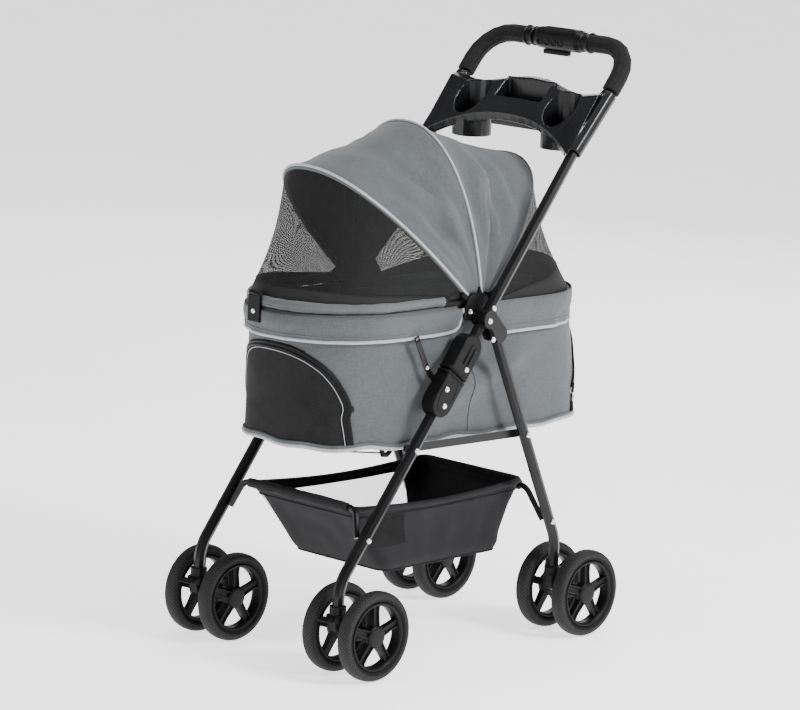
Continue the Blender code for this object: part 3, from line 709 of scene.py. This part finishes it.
def side_run(rows):
    """Distance of each column from the front middle, negative on the left, and the whole way round."""
    row = rows[BAG_ROWS // 2]
    front = min(range(BAG_COLUMNS), key=lambda i: row[i].y + abs(row[i].x) * 0.2)
    lengths = [(row[(i + 1) % BAG_COLUMNS] - row[i]).length for i in range(BAG_COLUMNS)]
    total = sum(lengths)
    run = [0.0] * BAG_COLUMNS
    for step in range(1, BAG_COLUMNS):
        here, last = (front + step) % BAG_COLUMNS, (front + step - 1) % BAG_COLUMNS
        run[here] = run[last] + lengths[last]
    return [d if d < total / 2 else d - total for d in run], total


DOOR_HALF = 0.136           # half width of a door at the floor, along the wall
DOOR_TOP = 0.160            # its height above the floor
DOOR_POWER = 2.5


def door_edge(grow, count=120):
    """The door's edge as distances from its middle and heights, grown outwards by an amount."""
    points = []
    for step in range(count + 1):
        angle = math.pi * step / count
        c, s = math.cos(angle), math.sin(angle)
        points.append(Vector((-DOOR_HALF * signed_power(c, 2 / DOOR_POWER),
                              DOOR_TOP * max(s, 0.0) ** (2 / DOOR_POWER), 0)))
    points = resample(points, count)
    moved = []
    for before, point, after in zip([points[0]] + points[:-1], points, points[1:] + [points[-1]]):
        ahead = (after - before).normalized()
        moved.append(point + Vector((-ahead.y, ahead.x, 0)) * grow)
    return moved


def surface_point(rows, column, share):
    """A point on the bag's wall at a column, which may be a fraction, and a height share."""
    c = int(math.floor(column))
    f = column - c
    r = min(max(share, 0.0), 1.0) * (BAG_ROWS - 1)
    low = min(int(r), BAG_ROWS - 2)
    g = r - low
    a = rows[low][c % BAG_COLUMNS].lerp(rows[low][(c + 1) % BAG_COLUMNS], f)
    b = rows[low + 1][c % BAG_COLUMNS].lerp(rows[low + 1][(c + 1) % BAG_COLUMNS], f)
    return a.lerp(b, g)


def fold_with_bag(item):
    """The piece rides on the carrier, with a mesh of its own."""
    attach(item, "carrier")
    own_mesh(item)


def carrier():
    rows = bag_surface()
    front_run, total = side_run(rows)
    rear_run = [d - total / 2 if d > 0 else d + total / 2 for d in front_run]

    def in_door(r, c):
        share = (r + 0.5) / (BAG_ROWS - 1)
        height = share * (BAG_TOP_Z - BAG_FLOOR_Z)
        inside = [(abs(run[c]) / DOOR_HALF) ** DOOR_POWER + (height / DOOR_TOP) ** DOOR_POWER < 1
                  for run in (front_run, rear_run)]
        return int(share >= 0.04 and any(inside))

    wall = thicken(sheet_mesh("bag_wall", rows, [GREY, DOOR_NET], across=True, pick=in_door), 0.0012, -1.0)
    wall.modifiers["thickness"].use_rim = False
    pieces = bag_floor(rows) + bag_door(rows, "front", front_run) + bag_door(rows, "rear", rear_run)
    pieces += bag_edges(rows)
    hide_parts("carrier_body")
    for item in pieces + [wall]:
        fold_with_bag(item)
    skirts()
    ring_sleeves()


def bag_floor(rows):
    """The floor's cloth, and the pad that lies on it."""
    shares = (0.0, 0.03, 0.3, 0.65, 0.98)
    floor_rows = [[p.lerp(Vector((0, 0.0, p.z - 0.002)), t) for p in rows[0]] for t in shares]
    floor = thicken(sheet_mesh("bag_floor", floor_rows, [BLACK, BLACK], across=True), 0.0025, -1.0)
    pad_rows = []
    for z, grow in ((0.006, 0.0), (0.016, -0.004), (0.020, -0.018), (0.021, -0.06), (0.0205, -0.115)):
        pad_rows.append([Vector((p.x * (1 + grow / 0.128), p.y * (1 + grow / 0.31), BAG_FLOOR_Z + z))
                         for p in [q * 0.965 for q in bag_outline(0.0, 96)]])
    pad = refine(sheet_mesh("floor_pad", pad_rows, [LINING], across=True))
    return [floor, pad]


def bag_door(rows, label, run):
    """Binding, two rows of zip teeth, a pale edge and a puller round one door."""
    order = sorted(range(BAG_COLUMNS), key=lambda i: run[i])
    distances = [run[i] for i in order]

    def on_wall(distance, height, lift):
        column = np.interp(distance, distances, range(len(order)))
        first = order[int(column)]
        share = height / (BAG_TOP_Z - BAG_FLOOR_Z)
        point = surface_point(rows, first + column - int(column), share)
        return point + outward(point) * lift

    pieces = []
    for kind, grow, half_width, look, lift, depth in (
            ("binding", -0.0005, 0.0068, WEBBING, 0.0008, 0.0012),
            ("teeth", -0.0035, 0.0016, PLASTIC, 0.0022, 0.0012),
            ("second_teeth", 0.0030, 0.0016, PLASTIC, 0.0022, 0.0012),
            ("edge", -0.0080, 0.0006, PIPING, 0.0012, 0.0006)):
        path = [on_wall(d, max(h, 0.008), lift) for d, h, _ in door_edge(grow)]
        strip = ribbon(f"{label}_door_{kind}", smooth_path(path, 6), half_width, look, depth)
        pieces.append(strip)
    pull_height = 0.050 if label == "rear" else 0.026
    sides = [on_wall(d, pull_height, 0.003) for d in (-DOOR_HALF, DOOR_HALF)]
    return pieces + zip_pull(label, max(sides, key=lambda p: p.x if label == "rear" else -p.x))


def bag_edges(rows):
    """Piping and binding round the floor, and a seam down each side."""
    edge = [p + outward(p) * 0.0015 + Vector((0, 0, 0.001)) for p in rows[0]]
    inner = [p + outward(p) * 0.0012 + Vector((0, 0, 0.0065)) for p in rows[0]]
    pieces = [tube("bag_floor_piping", edge, 0.0034, PIPING, 8, closed=True),
              tube("bag_floor_binding", inner, 0.0026, GREY, 8, closed=True)]
    low, high = rows[0][0].z, rows[-1][0].z
    for word, side in SIDES:
        path = []
        for step in range(25):
            z = low + (high - low) * step / 24
            row = min(rows, key=lambda q: abs(q[0].z - z))
            near = min((p for p in row if p.x * side > 0), key=lambda p: abs(p.y - 0.004))
            path.append(Vector((near.x + side * 0.0006, 0.004, near.z)))
        pieces.append(tube(f"side_seam_{word}", path, 0.0011, GREY, 6))
    return [item for item in pieces]


def zip_pull(label, place):
    """A ring and a tab on a zip's slider."""
    ring = [place + Vector((0, 0.0045 * math.cos(a), 0.0060 * math.sin(a) - 0.006))
            for a in np.linspace(0, 2 * math.pi, 17)[:-1]]
    tab = [place + Vector((0, 0.001, d)) for d in (-0.011, -0.013, -0.020, -0.024, -0.0255)]
    slider = [place + Vector((0, 0, d)) for d in (0.008, 0.006, -0.003, -0.005)]
    made = [tube(f"{label}_zip_ring", ring, 0.0009, STEEL, 6, closed=True),
            tube(f"{label}_zip_tab", tab, [0.0012, 0.0028, 0.0034, 0.0030, 0.0012], STEEL, 10),
            tube(f"{label}_zip_slider", slider, [0.0015, 0.0034, 0.0034, 0.0015], PLASTIC, 10)]
    return [item for item in made]


def smooth_path(path, passes):
    for _ in range(passes):
        path = [path[0]] + [(a + b * 2 + c) / 4 for a, b, c in zip(path, path[1:], path[2:])] + [path[-1]]
    return path


def ribbon(name, path, half_width, look, thickness):
    """A flat strip that lies on the bag along a path."""
    rows = []
    for i, point in enumerate(path):
        before = path[max(i - 1, 0)]
        after = path[min(i + 1, len(path) - 1)]
        ahead = (after - before).normalized()
        out = outward(point)
        side = out.cross(ahead).normalized()
        out = ahead.cross(side).normalized()
        row = []
        for step in range(10):
            angle = 2 * math.pi * step / 10
            c, s = math.cos(angle), math.sin(angle)
            c, s = signed_power(c, 0.5), signed_power(s, 0.5)
            row.append(point + side * c * half_width + out * s * thickness)
        rows.append(row)
    return sheet_mesh(name, rows, [look], across=True)


def skirt_rows(front, top_z, bottom_z, start_y, count=81):
    """Rows of a skirt that hangs outside the ring."""
    rows = []
    for r in range(11):
        t = r / 10
        z = top_z + (bottom_z - top_z) * t
        grow = 0.0085 + 0.0025 * math.sin(math.pi * min(t * 1.6, 1.0)) - 0.003 * t
        line = ring_curve(RING_HALF_WIDTH + grow, z, front, start_y, count, grow)
        row = []
        for i, p in enumerate(line):
            s = i / (count - 1)
            wave = ripple((s * 26, t * 1.2, 4.0 if front else 7.0), 1.0, 0.0050) * t
            end = min(s, 1 - s) * 18
            corner = 1.0 - math.sqrt(max(0.0, 1 - (1 - min(end, 1.0)) ** 2)) if end < 1 else 0.0
            lift = corner * (top_z - bottom_z) * 0.55 * t
            out = outward(p, 0.4)
            row.append(p + out * wave + Vector((0, 0, lift + ripple((s * 15, 2.0, 1.0), 1.0, 0.0012) * t)))
        rows.append(row)
    return rows


def skirts():
    for label, front, top_z, bottom_z, start_y in (
            ("front", True, RING_Z + 0.005, RING_Z - 0.034, -0.036),
            ("rear", False, RING_Z + 0.010, RING_Z - 0.044, 0.034)):
        rows = skirt_rows(front, top_z, bottom_z, start_y)
        cloth_piece = sheet_mesh(f"{label}_skirt", rows, [GREY, GREY])
        thicken(cloth_piece, 0.0014)
        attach(cloth_piece, "carrier")
        edge = [row[0] for row in rows] + rows[-1][1:-1] + [row[-1] for row in reversed(rows)]
        bead = tube(f"{label}_skirt_piping", resample(edge, 140), 0.0029, PIPING, 8)
        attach(bead, "carrier")
        stitch = [p + outward(p, 0.4) * 0.0010 for p in rows[8]]
        line = tube(f"{label}_skirt_stitch", stitch[2:-2], 0.0006, GREY_KNIT, 5)
        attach(line, "carrier")


def ring_sleeves():
    """Fabric sleeves round the carrier's ring and the lid's ring."""
    for label, front in (("front", True), ("rear", False)):
        start_y = -0.045 if front else 0.036
        path = ring_curve(RING_HALF_WIDTH, RING_Z, front, start_y, 90)
        sleeve = tube(f"ring_sleeve_{label}", path, 0.0086, GREY, 12)
        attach(sleeve, "carrier")
    path = ring_curve(LID_HALF_WIDTH, LID_Z, True, -0.072, 110)
    sizes = [0.0084 + ripple(p, 60.0, 0.0010) for p in path]
    sleeve = tube("lid_sleeve", path, sizes, GREY_KNIT, 12)
    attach(sleeve, "lid")
    seam = [p + Vector((p.x, p.y + 0.1, 0)).normalized() * 0.0075 - Vector((0, 0, 0.0035))
            for p in path[1:-1]]
    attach(tube("lid_sleeve_seam", seam, 0.0009, GREY, 6), "lid")
    for word, side in SIDES:
        cuff = [Vector((side * LID_HALF_WIDTH, y, LID_Z)) for y in (-0.0745, -0.0735, -0.069, -0.0685)]
        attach(tube(f"lid_cuff_{word}", cuff, [0.0070, 0.0090, 0.0090, 0.0080], WEBBING, 14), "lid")


# ---------------------------------------------------------------- basket
BASKET_LEVELS = (           # height share, front and rear, half width at each, corner radius
    (0.0, -0.152, 0.124, 0.104, 0.098, 0.020), (0.10, -0.163, 0.131, 0.111, 0.104, 0.022),
    (0.45, -0.196, 0.141, 0.114, 0.107, 0.020), (1.0, -0.243, 0.160, 0.121, 0.113, 0.016))


def basket_outline(share):
    """The basket's rounded outline at a height share."""
    shares = [level[0] for level in BASKET_LEVELS]
    front, rear, wide_front, wide_rear, corner = [
        np.interp(share, shares, [level[k] for level in BASKET_LEVELS]) for k in range(1, 6)]
    outline = []
    for cx, cy, begin in ((wide_rear, rear, 0), (-wide_rear, rear, 90), (-wide_front, front, 180),
                          (wide_front, front, 270)):
        middle = Vector((cx - math.copysign(corner, cx), cy - (corner if begin < 180 else -corner), 0))
        for step in range(9):
            angle = math.radians(begin + 90 * step / 8)
            outline.append(middle + Vector((corner * math.cos(angle), corner * math.sin(angle), 0)))
    outline.append(outline[0])
    return resample(outline, 121)[:-1]


def basket():
    floor_z, rim_z = BASKET_LOW.z, BASKET_HIGH.z
    rows = []
    for r in range(17):
        share = r / 16
        row = []
        for i, p in enumerate(basket_outline(share)):
            out = outward(p, 0.6)
            belly = math.sin(math.pi * share)
            wrinkle = ripple((i * 0.28, share * 3, 6.0), 1.0, 0.0040) * belly
            dip = -0.004 * belly
            along = math.sin(math.pi * (p.y + 0.24) / 0.40) if -0.24 < p.y < 0.16 else 0
            z = floor_z + 0.003 + (rim_z - floor_z) * share - 0.010 * along * share ** 6
            row.append(Vector((p.x, p.y, z)) + out * (wrinkle + dip))
        rows.append(row)

    def material_at(r, c):
        middle_point = rows[8][c]
        share = (r + 0.5) / 16
        last = 0.115 if middle_point.x < 0 else -0.120
        on_side = abs(middle_point.x) > 0.100 and -0.196 < middle_point.y < last
        return int(on_side and 0.40 < share < 0.88)

    wall = sheet_mesh("basket_wall", rows, [BLACK, BASKET_NET], across=True, pick=material_at)
    shares = (0.0, 0.04, 0.35, 0.7, 0.97)
    floor_rows = [[p.lerp(Vector((0, -0.01, p.z - 0.0035)), t) for p in rows[0]] for t in shares]
    floor = thicken(sheet_mesh("basket_floor_cloth", floor_rows, [BLACK, BLACK], across=True), 0.0018)
    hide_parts("storage_basket")

    rim = [p + Vector((0, 0, 0.001)) for p in rows[-1]]
    rim_hem = tube("basket_rim_hem", rim, 0.0052, BLACK, 8, closed=True)
    pieces = [wall, floor, rim_hem]
    for label, share in (("upper", 0.86), ("lower", 0.02)):
        row = rows[round(share * 16)]
        path = [p + outward(p, 0.6) * 0.0006 for p in row]
        pieces.append(tube(f"basket_seam_{label}", path, 0.0012, WEBBING, 6, closed=True))
    for item in pieces:
        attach(item, "front_frame")
        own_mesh(item)

    # pockets of cloth sewn round the hoops
    for label, body, corner, inset, half in (("front", "front_frame", 1, -0.007, 0.112),
                                             ("rear", "rear_frame", 0, 0.006, 0.103)):
        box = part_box(f"basket_hoop_{label}")
        y, z = box[corner].y + inset, box[1].z - 0.005
        path = [Vector((half * (1 - 2 * s / 30), y + ripple((s, 0, 2.0), 0.4, 0.0015), z)) for s in range(31)]
        sizes = [0.0085 + ripple(p, 50.0, 0.0016) for p in path]
        sleeve = tube(f"basket_{label}_pocket", path, sizes, BLACK, 12)
        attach(sleeve, body)


# ---------------------------------------------------------------- wheels
def tyre(node):
    """A tyre with a shallow diamond tread."""
    middle = centre(node)
    around, half = 96, TYRE_WIDTH / 2
    bore = RIM_RADIUS + 0.0004
    profile = [(bore, -half + 0.003)]
    for step in range(17):
        angle = math.pi * (step / 16 - 0.5)
        radius = bore + 0.006 + (WHEEL_RADIUS - bore - 0.006) * abs(math.cos(angle)) ** 0.55
        profile.append((radius, half * signed_power(math.sin(angle), 0.8)))
    profile.append((bore, half - 0.003))
    rows = []
    for step in range(around):
        angle = 2 * math.pi * step / around
        rows.append([middle + Vector((x, radius * math.cos(angle), radius * math.sin(angle)))
                     for radius, x in profile])

    def treaded(_, column):
        return int(profile[column][0] > WHEEL_RADIUS - 0.0085)

    piece = sheet_mesh(f"{node}_tread", rows, [RUBBER, TREAD], across=True, around=True, pick=treaded)
    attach(piece, NODES[node]["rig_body"])
    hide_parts(node)
    return piece


def rim(node, side):
    """Five-spoke rim with channelled spokes and a flat hub cap on its outer face."""
    middle = centre(node)
    parts = []
    edge, half = RIM_RADIUS, 0.0105
    barrel = [(edge, -half), (edge, half), (edge - 0.0012, half + 0.0008), (edge - 0.004, half - 0.0004),
              (edge - 0.0055, half - 0.003), (edge - 0.0066, 0.0), (edge - 0.0055, 0.003 - half),
              (edge - 0.004, 0.0004 - half), (edge - 0.0012, -half - 0.0008)]
    parts.append(lathe("barrel", barrel, WHEEL_PLASTIC, middle, (1, 0, 0), 72, closed=True))
    cap = [(0.0002, 0.0098), (0.0120, 0.0098), (0.0160, 0.0092), (0.0178, 0.0078), (0.0185, 0.0050),
           (0.0185, -0.0065), (0.0120, -0.0085), (0.0046, -0.0085), (0.0046, -0.0040), (0.0002, -0.0040)]
    hub_axis = (side, 0, 0)
    parts.append(weld(lathe("hub", cap, WHEEL_PLASTIC, middle, hub_axis, 40)))
    for index in range(5):
        angle = 2 * math.pi * index / 5 + math.pi / 2
        out = Vector((0, math.cos(angle), math.sin(angle)))
        across = Vector((0, -math.sin(angle), math.cos(angle)))
        forward = Vector((side, 0, 0))
        rows = []
        for radius, wide, top in ((0.0165, 0.0068, 0.0070), (0.024, 0.0064, 0.0062), (0.036, 0.0060, 0.0052),
                                  (0.046, 0.0064, 0.0052), (edge - 0.0050, 0.0072, 0.0062)):
            centre_point = middle + out * radius
            shape = ((-wide, -0.0050), (-wide, top), (-wide * 0.62, top), (-wide * 0.50, top - 0.0026),
                     (wide * 0.50, top - 0.0026), (wide * 0.62, top), (wide, top), (wide, -0.0050))
            rows.append([centre_point + across * a + forward * b for a, b in shape])
        spoke = sheet_mesh("spoke", rows, [WHEEL_PLASTIC], across=True)
        for polygon in spoke.data.polygons:
            polygon.use_smooth = False
        parts.append(spoke)
    piece = join(f"{node}_spoked", parts)
    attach(piece, NODES[node]["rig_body"])
    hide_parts(node)
    return piece


def wheels():
    for end in ("front", "rear"):
        for word, side in SIDES:
            for place, way in (("inner", -1), ("outer", 1)):
                tyre(f"tyre_{end}_{word}_{place}")
                rim(f"rim_{end}_{word}_{place}", side * way)


# ---------------------------------------------------------------- hardware
def hubs():
    """The plates, bolts and tube ends where ring, lid and hoops meet at each side."""
    for word, side in SIDES:
        x = side * 0.1455
        outline = [(-0.040, 0.552), (-0.036, 0.568), (-0.030, 0.590), (0.006, 0.592), (0.018, 0.584),
                   (0.022, 0.560), (0.012, 0.546), (-0.030, 0.544)]
        mid = Vector((-0.008, 0.568))
        plate = []
        for depth, size in ((-0.0030, 0.0465), (-0.0030, 0.93), (-0.0026, 1.0), (0.0026, 1.0),
                            (0.0030, 0.93), (0.0030, 0.0465)):
            plate.append([Vector((x + side * depth, *(mid + (Vector(p) - mid) * size))) for p in outline])
        piece = refine(sheet_mesh(f"hub_plate_{word}", plate, [PLASTIC], across=True), 2)
        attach(piece, "carrier")
        rivet(f"hub_bolt_{word}", "carrier", (side * 0.1490, -0.025, 0.561), (side, 0, 0), 0.0046)
        gusset = []
        for z, front, rear in ((0.566, -0.074, 0.060), (0.580, -0.070, 0.058), (0.592, -0.056, 0.050),
                               (0.604, -0.040, 0.042)):
            gusset.append([Vector((side * 0.1352, front + (rear - front) * t / 8, z)) for t in range(9)])
        piece = thicken(sheet_mesh(f"hub_gusset_{word}", gusset, [LINING, LINING]), 0.0014)
        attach(piece, "carrier")
        for name, body in HOOP_BODIES.items():
            (foot_y, foot_z), lean, _ = HOOPS[name]
            base = Vector((side * 0.141, foot_y, foot_z - 0.006))
            ahead = Vector((0, math.cos(lean), math.sin(lean)))
            socket = [base + ahead * d for d in (-0.004, 0.0, 0.014, 0.022)]
            piece = tube(f"hoop_socket_{name}_{word}", socket, [0.0040, 0.0062, 0.0058, 0.0048], PLASTIC, 12)
            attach(piece, body)
        tab = [Vector((side * LID_HALF_WIDTH, y, LID_Z)) for y in (-0.034, -0.030, -0.020, -0.014)]
        piece = tube(f"lid_end_{word}", tab, [0.0066, 0.0072, 0.0072, 0.0060], PLASTIC, 12)
        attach(piece, "lid")


def fold_lock_details():
    for word, side in SIDES:
        face = side * (LEG_X + 0.0137)
        for name, along, forward, body in (("upper", 0.018, -0.006, f"lock_sleeve_{word}"),
                                           ("middle", -0.030, 0.012, "front_frame"),
                                           ("lower", -0.054, -0.001, "front_frame")):
            rivet(f"casing_rivet_{name}_{word}", body, leg_point(face, along, forward), (side, 0, 0), 0.0048)
        for name, along, body in (("upper", 0.0040, f"lock_sleeve_{word}"),
                                  ("lower", -0.0040, "front_frame")):
            band = []
            for step in range(41):
                angle = 2 * math.pi * step / 40
                c, s = math.cos(angle), math.sin(angle)
                wide = 0.0238 * signed_power(c, 0.45) + 0.0035
                deep = 0.0143 * signed_power(s, 0.45)
                band.append(leg_point(side * LEG_X + deep, along, wide))
            ring = tube(f"casing_band_{name}_{word}", band[:-1], 0.0022, PLASTIC, 8, closed=True)
            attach(ring, body)
        for index, forward in enumerate((-0.004, 0.006)):
            path = [leg_point(face - side * 0.0004, a, forward) for a in (0.020, 0.024, 0.052, 0.058)]
            rib = tube(f"sleeve_rib_{index}_{word}", path, [0.0006, 0.0024, 0.0024, 0.0008], PLASTIC, 8)
            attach(rib, f"lock_sleeve_{word}")
        drop = []
        for step in range(36):
            angle = 2 * math.pi * step / 36
            wide = 0.0150 * math.cos(angle)
            long_way = -0.036 + 0.030 * math.sin(angle)
            drop.append(leg_point(face - side * 0.0006, long_way, wide + 0.004))
        bead = tube(f"casing_bead_{word}", drop, 0.0011, PLASTIC, 8, closed=True)
        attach(bead, "front_frame")


def leg_rivets():
    hoop_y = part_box("basket_hoop_front")[0].y + 0.006
    for word, side in SIDES:
        for name, body, out, place, radius in (
                ("bracket_rivet_upper", "upper_frame", 0.0150, leg_point(0, 0.107, 0.0), 0.0050),
                ("bracket_rivet_lower", "upper_frame", 0.0150, leg_point(0, 0.088, -0.026), 0.0050),
                ("bracket_pin", "upper_frame", 0.0090, leg_point(0, 0.130, 0.0), 0.0052),
                ("link_front_rivet", "front_frame", 0.0085, Vector((0, -0.158, 0.352)), 0.0046),
                ("link_rear_rivet", "rear_frame", 0.0080, Vector((0, 0.1045, 0.3486)), 0.0046),
                ("hoop_rivet_front", "front_frame", 0.0078, Vector((0, hoop_y, 0.2187)), 0.0046),
                ("hoop_rivet_rear", "rear_frame", 0.0060, Vector((0, 0.1788, 0.1934)), 0.0046)):
            point = (side * (LEG_X + out), place.y, place.z)
            rivet(f"{name}_{word}", body, point, (side, 0, 0), radius)
        line = ((-0.146, 0.531), (-0.142, 0.522), (-0.121, 0.481), (-0.112, 0.468), (-0.094, 0.452))
        strut = [Vector((side * 0.1475, y, z)) for y, z in line]
        bar = tube(f"rim_strut_{word}", strut, 0.0052, PAINT, 10, flat=((0, 1, 0.4), 0.0013))
        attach(bar, "front_frame")
        rivet(f"strut_rivet_{word}", "front_frame", (side * 0.1490, -0.120, 0.479), (side, 0, 0), 0.0036)


def under_bag():
    """The board's hooks under the bag and the wire between them."""
    for word, side in SIDES:
        x = side * 0.088
        line = ((-0.152, 0.352), (-0.152, 0.338), (-0.150, 0.331), (-0.140, 0.330), (-0.134, 0.334),
                (-0.134, 0.352))
        hook = [Vector((x, y, z)) for y, z in line]
        piece = tube(f"board_hook_{word}", hook, 0.0044, PLASTIC, 10)
        fold_with_bag(piece)
        wire = [Vector((x, -0.144 - 0.085 * t, 0.333 + 0.012 * t)) for t in (0.0, 0.25, 0.5, 0.75, 1.0)]
        piece = tube(f"board_wire_{word}", wire, 0.0013, PAINT, 8)
        fold_with_bag(piece)


def grip_details():
    core_low, core_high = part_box("grip_core")
    y, z = (core_low.y + core_high.y) / 2, (core_low.z + core_high.z) / 2
    toward = Vector((0, -0.80, -0.30)).normalized()
    upward = Vector((0, -0.30, 0.80)).normalized()
    for index in range(4):
        x = -0.030 + index * 0.0150
        shape = []
        for step in range(28):
            angle = 2 * math.pi * step / 28
            c, s = math.cos(angle), math.sin(angle)
            shape.append(Vector((x + 0.0056 * c, y, z)) + upward * (0.0068 * s * (1.0 if s > 0 else 0.7))
                         + toward * 0.0192)
        bead = tube(f"grip_recess_{index}", shape, 0.0011, PLASTIC, 8, closed=True)
        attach(bead, "upper_frame")
    for index in range(15):
        x = -0.026 + index * 0.0042
        arc = [Vector((x, y, z)) + (toward * math.cos(a) + upward * math.sin(a)) * 0.0194
               for a in np.linspace(0.75, 1.9, 9)]
        rib = tube(f"grip_rib_{index}", arc, 0.0007, PLASTIC, 6)
        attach(rib, "upper_frame")
    for word, side in SIDES:
        for kind, offset, radius in (("outer", 0.0700, 0.0160), ("inner", 0.0545, 0.0152)):
            ring = [Vector((side * offset, y + radius * math.cos(2 * math.pi * s / 32),
                            z + radius * math.sin(2 * math.pi * s / 32))) for s in range(32)]
            band = tube(f"grip_{kind}_collar_{word}", ring, 0.0016, PAINT, 8, closed=True)
            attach(band, "upper_frame")


def latch_details():
    low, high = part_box("lid_latch")
    x = (low.x + high.x) / 2
    hook = [Vector((x - 0.022, -0.326, high.z + 0.001)), Vector((x - 0.010, -0.333, high.z + 0.003)),
            Vector((x + 0.010, -0.333, high.z + 0.002)), Vector((x + 0.014, -0.331, high.z))]
    piece = tube("latch_hook", hook, [0.002, 0.0042, 0.0042, 0.002], PLASTIC, 10)
    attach(piece, "latch")
    rivet("latch_rivet", "latch", (x, low.y, 0.564), (0, -1, 0), 0.0042)


def cad_looks():
    """Materials for the CAD nodes that stay."""
    by_slot = {"black_paint": PAINT, "black_plastic": PLASTIC, "tray_plastic": TRAY_PLASTIC, "foam": FOAM,
               "wheel_plastic": WHEEL_PLASTIC, "tyre_rubber": RUBBER, "steel": STEEL, "grey_cloth": GREY,
               "black_cloth": BLACK, "mesh_cloth": NET}
    for part in frame["record"]["subparts"]:
        item = NODES[part["node"]]
        for place in item.material_slots:
            place.material = by_slot[part["material_slot"]]


# ---------------------------------------------------------------- stage, lights and camera
def stage():
    ends = (-FLOOR_REACH, FLOOR_REACH)
    corners = [[Vector((x, y, -0.0005)) for x in ends] for y in ends]
    sheet_mesh("floor", corners, [studio_floor()])
    world = bpy.data.worlds.new("studio")
    world.use_nodes = True
    world.node_tree.nodes["Background"].inputs["Color"].default_value = (1.0, 1.0, 1.0, 1.0)
    world.node_tree.nodes["Background"].inputs["Strength"].default_value = 0.30
    bpy.context.scene.world = world
    for name, place, size, power, aim in (("key", (3.4, 0.9, 2.9), 1.2, 230, (0, 0, 0.5)),
                                          ("fill", (-1.6, -3.8, 1.6), 2.2, 52, (0, 0, 0.45)),
                                          ("top", (0.2, 0.3, 4.0), 2.2, 80, (0, 0, 0.5)),
                                          ("back", (-2.0, 3.6, 2.4), 2.0, 60, (0, 0, 0.5))):
        light = bpy.data.lights.new(name, "AREA")
        light.size = size
        light.energy = power
        item = put(bpy.data.objects.new(name, light))
        item.location = place
        item.rotation_euler = (Vector(aim) - Vector(place)).to_track_quat("-Z", "Y").to_euler()


def studio_floor():
    look = Look("studio_floor", 0.85)
    shade = look.ramp(look.noise(3.0), [(0.3, (0.93, 0.93, 0.93)), (0.7, (0.95, 0.95, 0.95))])
    look.link(shade, look.shader.inputs["Base Color"])
    look.link(shade, look.shader.inputs["Emission Color"])
    look.shader.inputs["Emission Strength"].default_value = 1.6
    return look.material


def camera():
    """The photograph's viewing angle: from the front right, a little above the cabin."""
    yaw, pitch, distance, roll = 0.7633, 0.1768, 6.5684, -0.0455
    back = Vector((math.sin(yaw) * math.cos(pitch), -math.cos(yaw) * math.cos(pitch), math.sin(pitch)))
    right = Vector((math.cos(yaw), math.sin(yaw), 0))
    up = back.cross(right)
    target = Vector((0, 0.031, 0.5)) - right * 0.0409 - up * 0.0393
    lens = bpy.data.cameras.new("camera")
    lens.sensor_width = 36.0
    lens.lens = 180.06
    lens.clip_end = 100.0
    item = put(bpy.data.objects.new("camera", lens))
    across = right * math.cos(roll) - up * math.sin(roll)
    above = right * math.sin(roll) + up * math.cos(roll)
    place = target + back * distance
    item.matrix_world = Matrix(((across.x, above.x, back.x, place.x), (across.y, above.y, back.y, place.y),
                                (across.z, above.z, back.z, place.z), (0, 0, 0, 1)))
    bpy.context.scene.camera = item


camera()
stage()
cad_looks()
wheels()
canopy()
carrier()
basket()
hubs()
fold_lock_details()
leg_rivets()
under_bag()
grip_details()
latch_details()
for node, voxel, look in (("cup_tray", 0.0014, TRAY_PLASTIC), ("grip_core", 0.0009, PLASTIC)):
    moulded(node, voxel, look)
for word, _ in SIDES:
    for node in ("lock_casing", "lock_sleeve", "caster_housing", "rear_housing", "brake_pedal"):
        moulded(f"{node}_{word}", 0.0009, PLASTIC, 3)
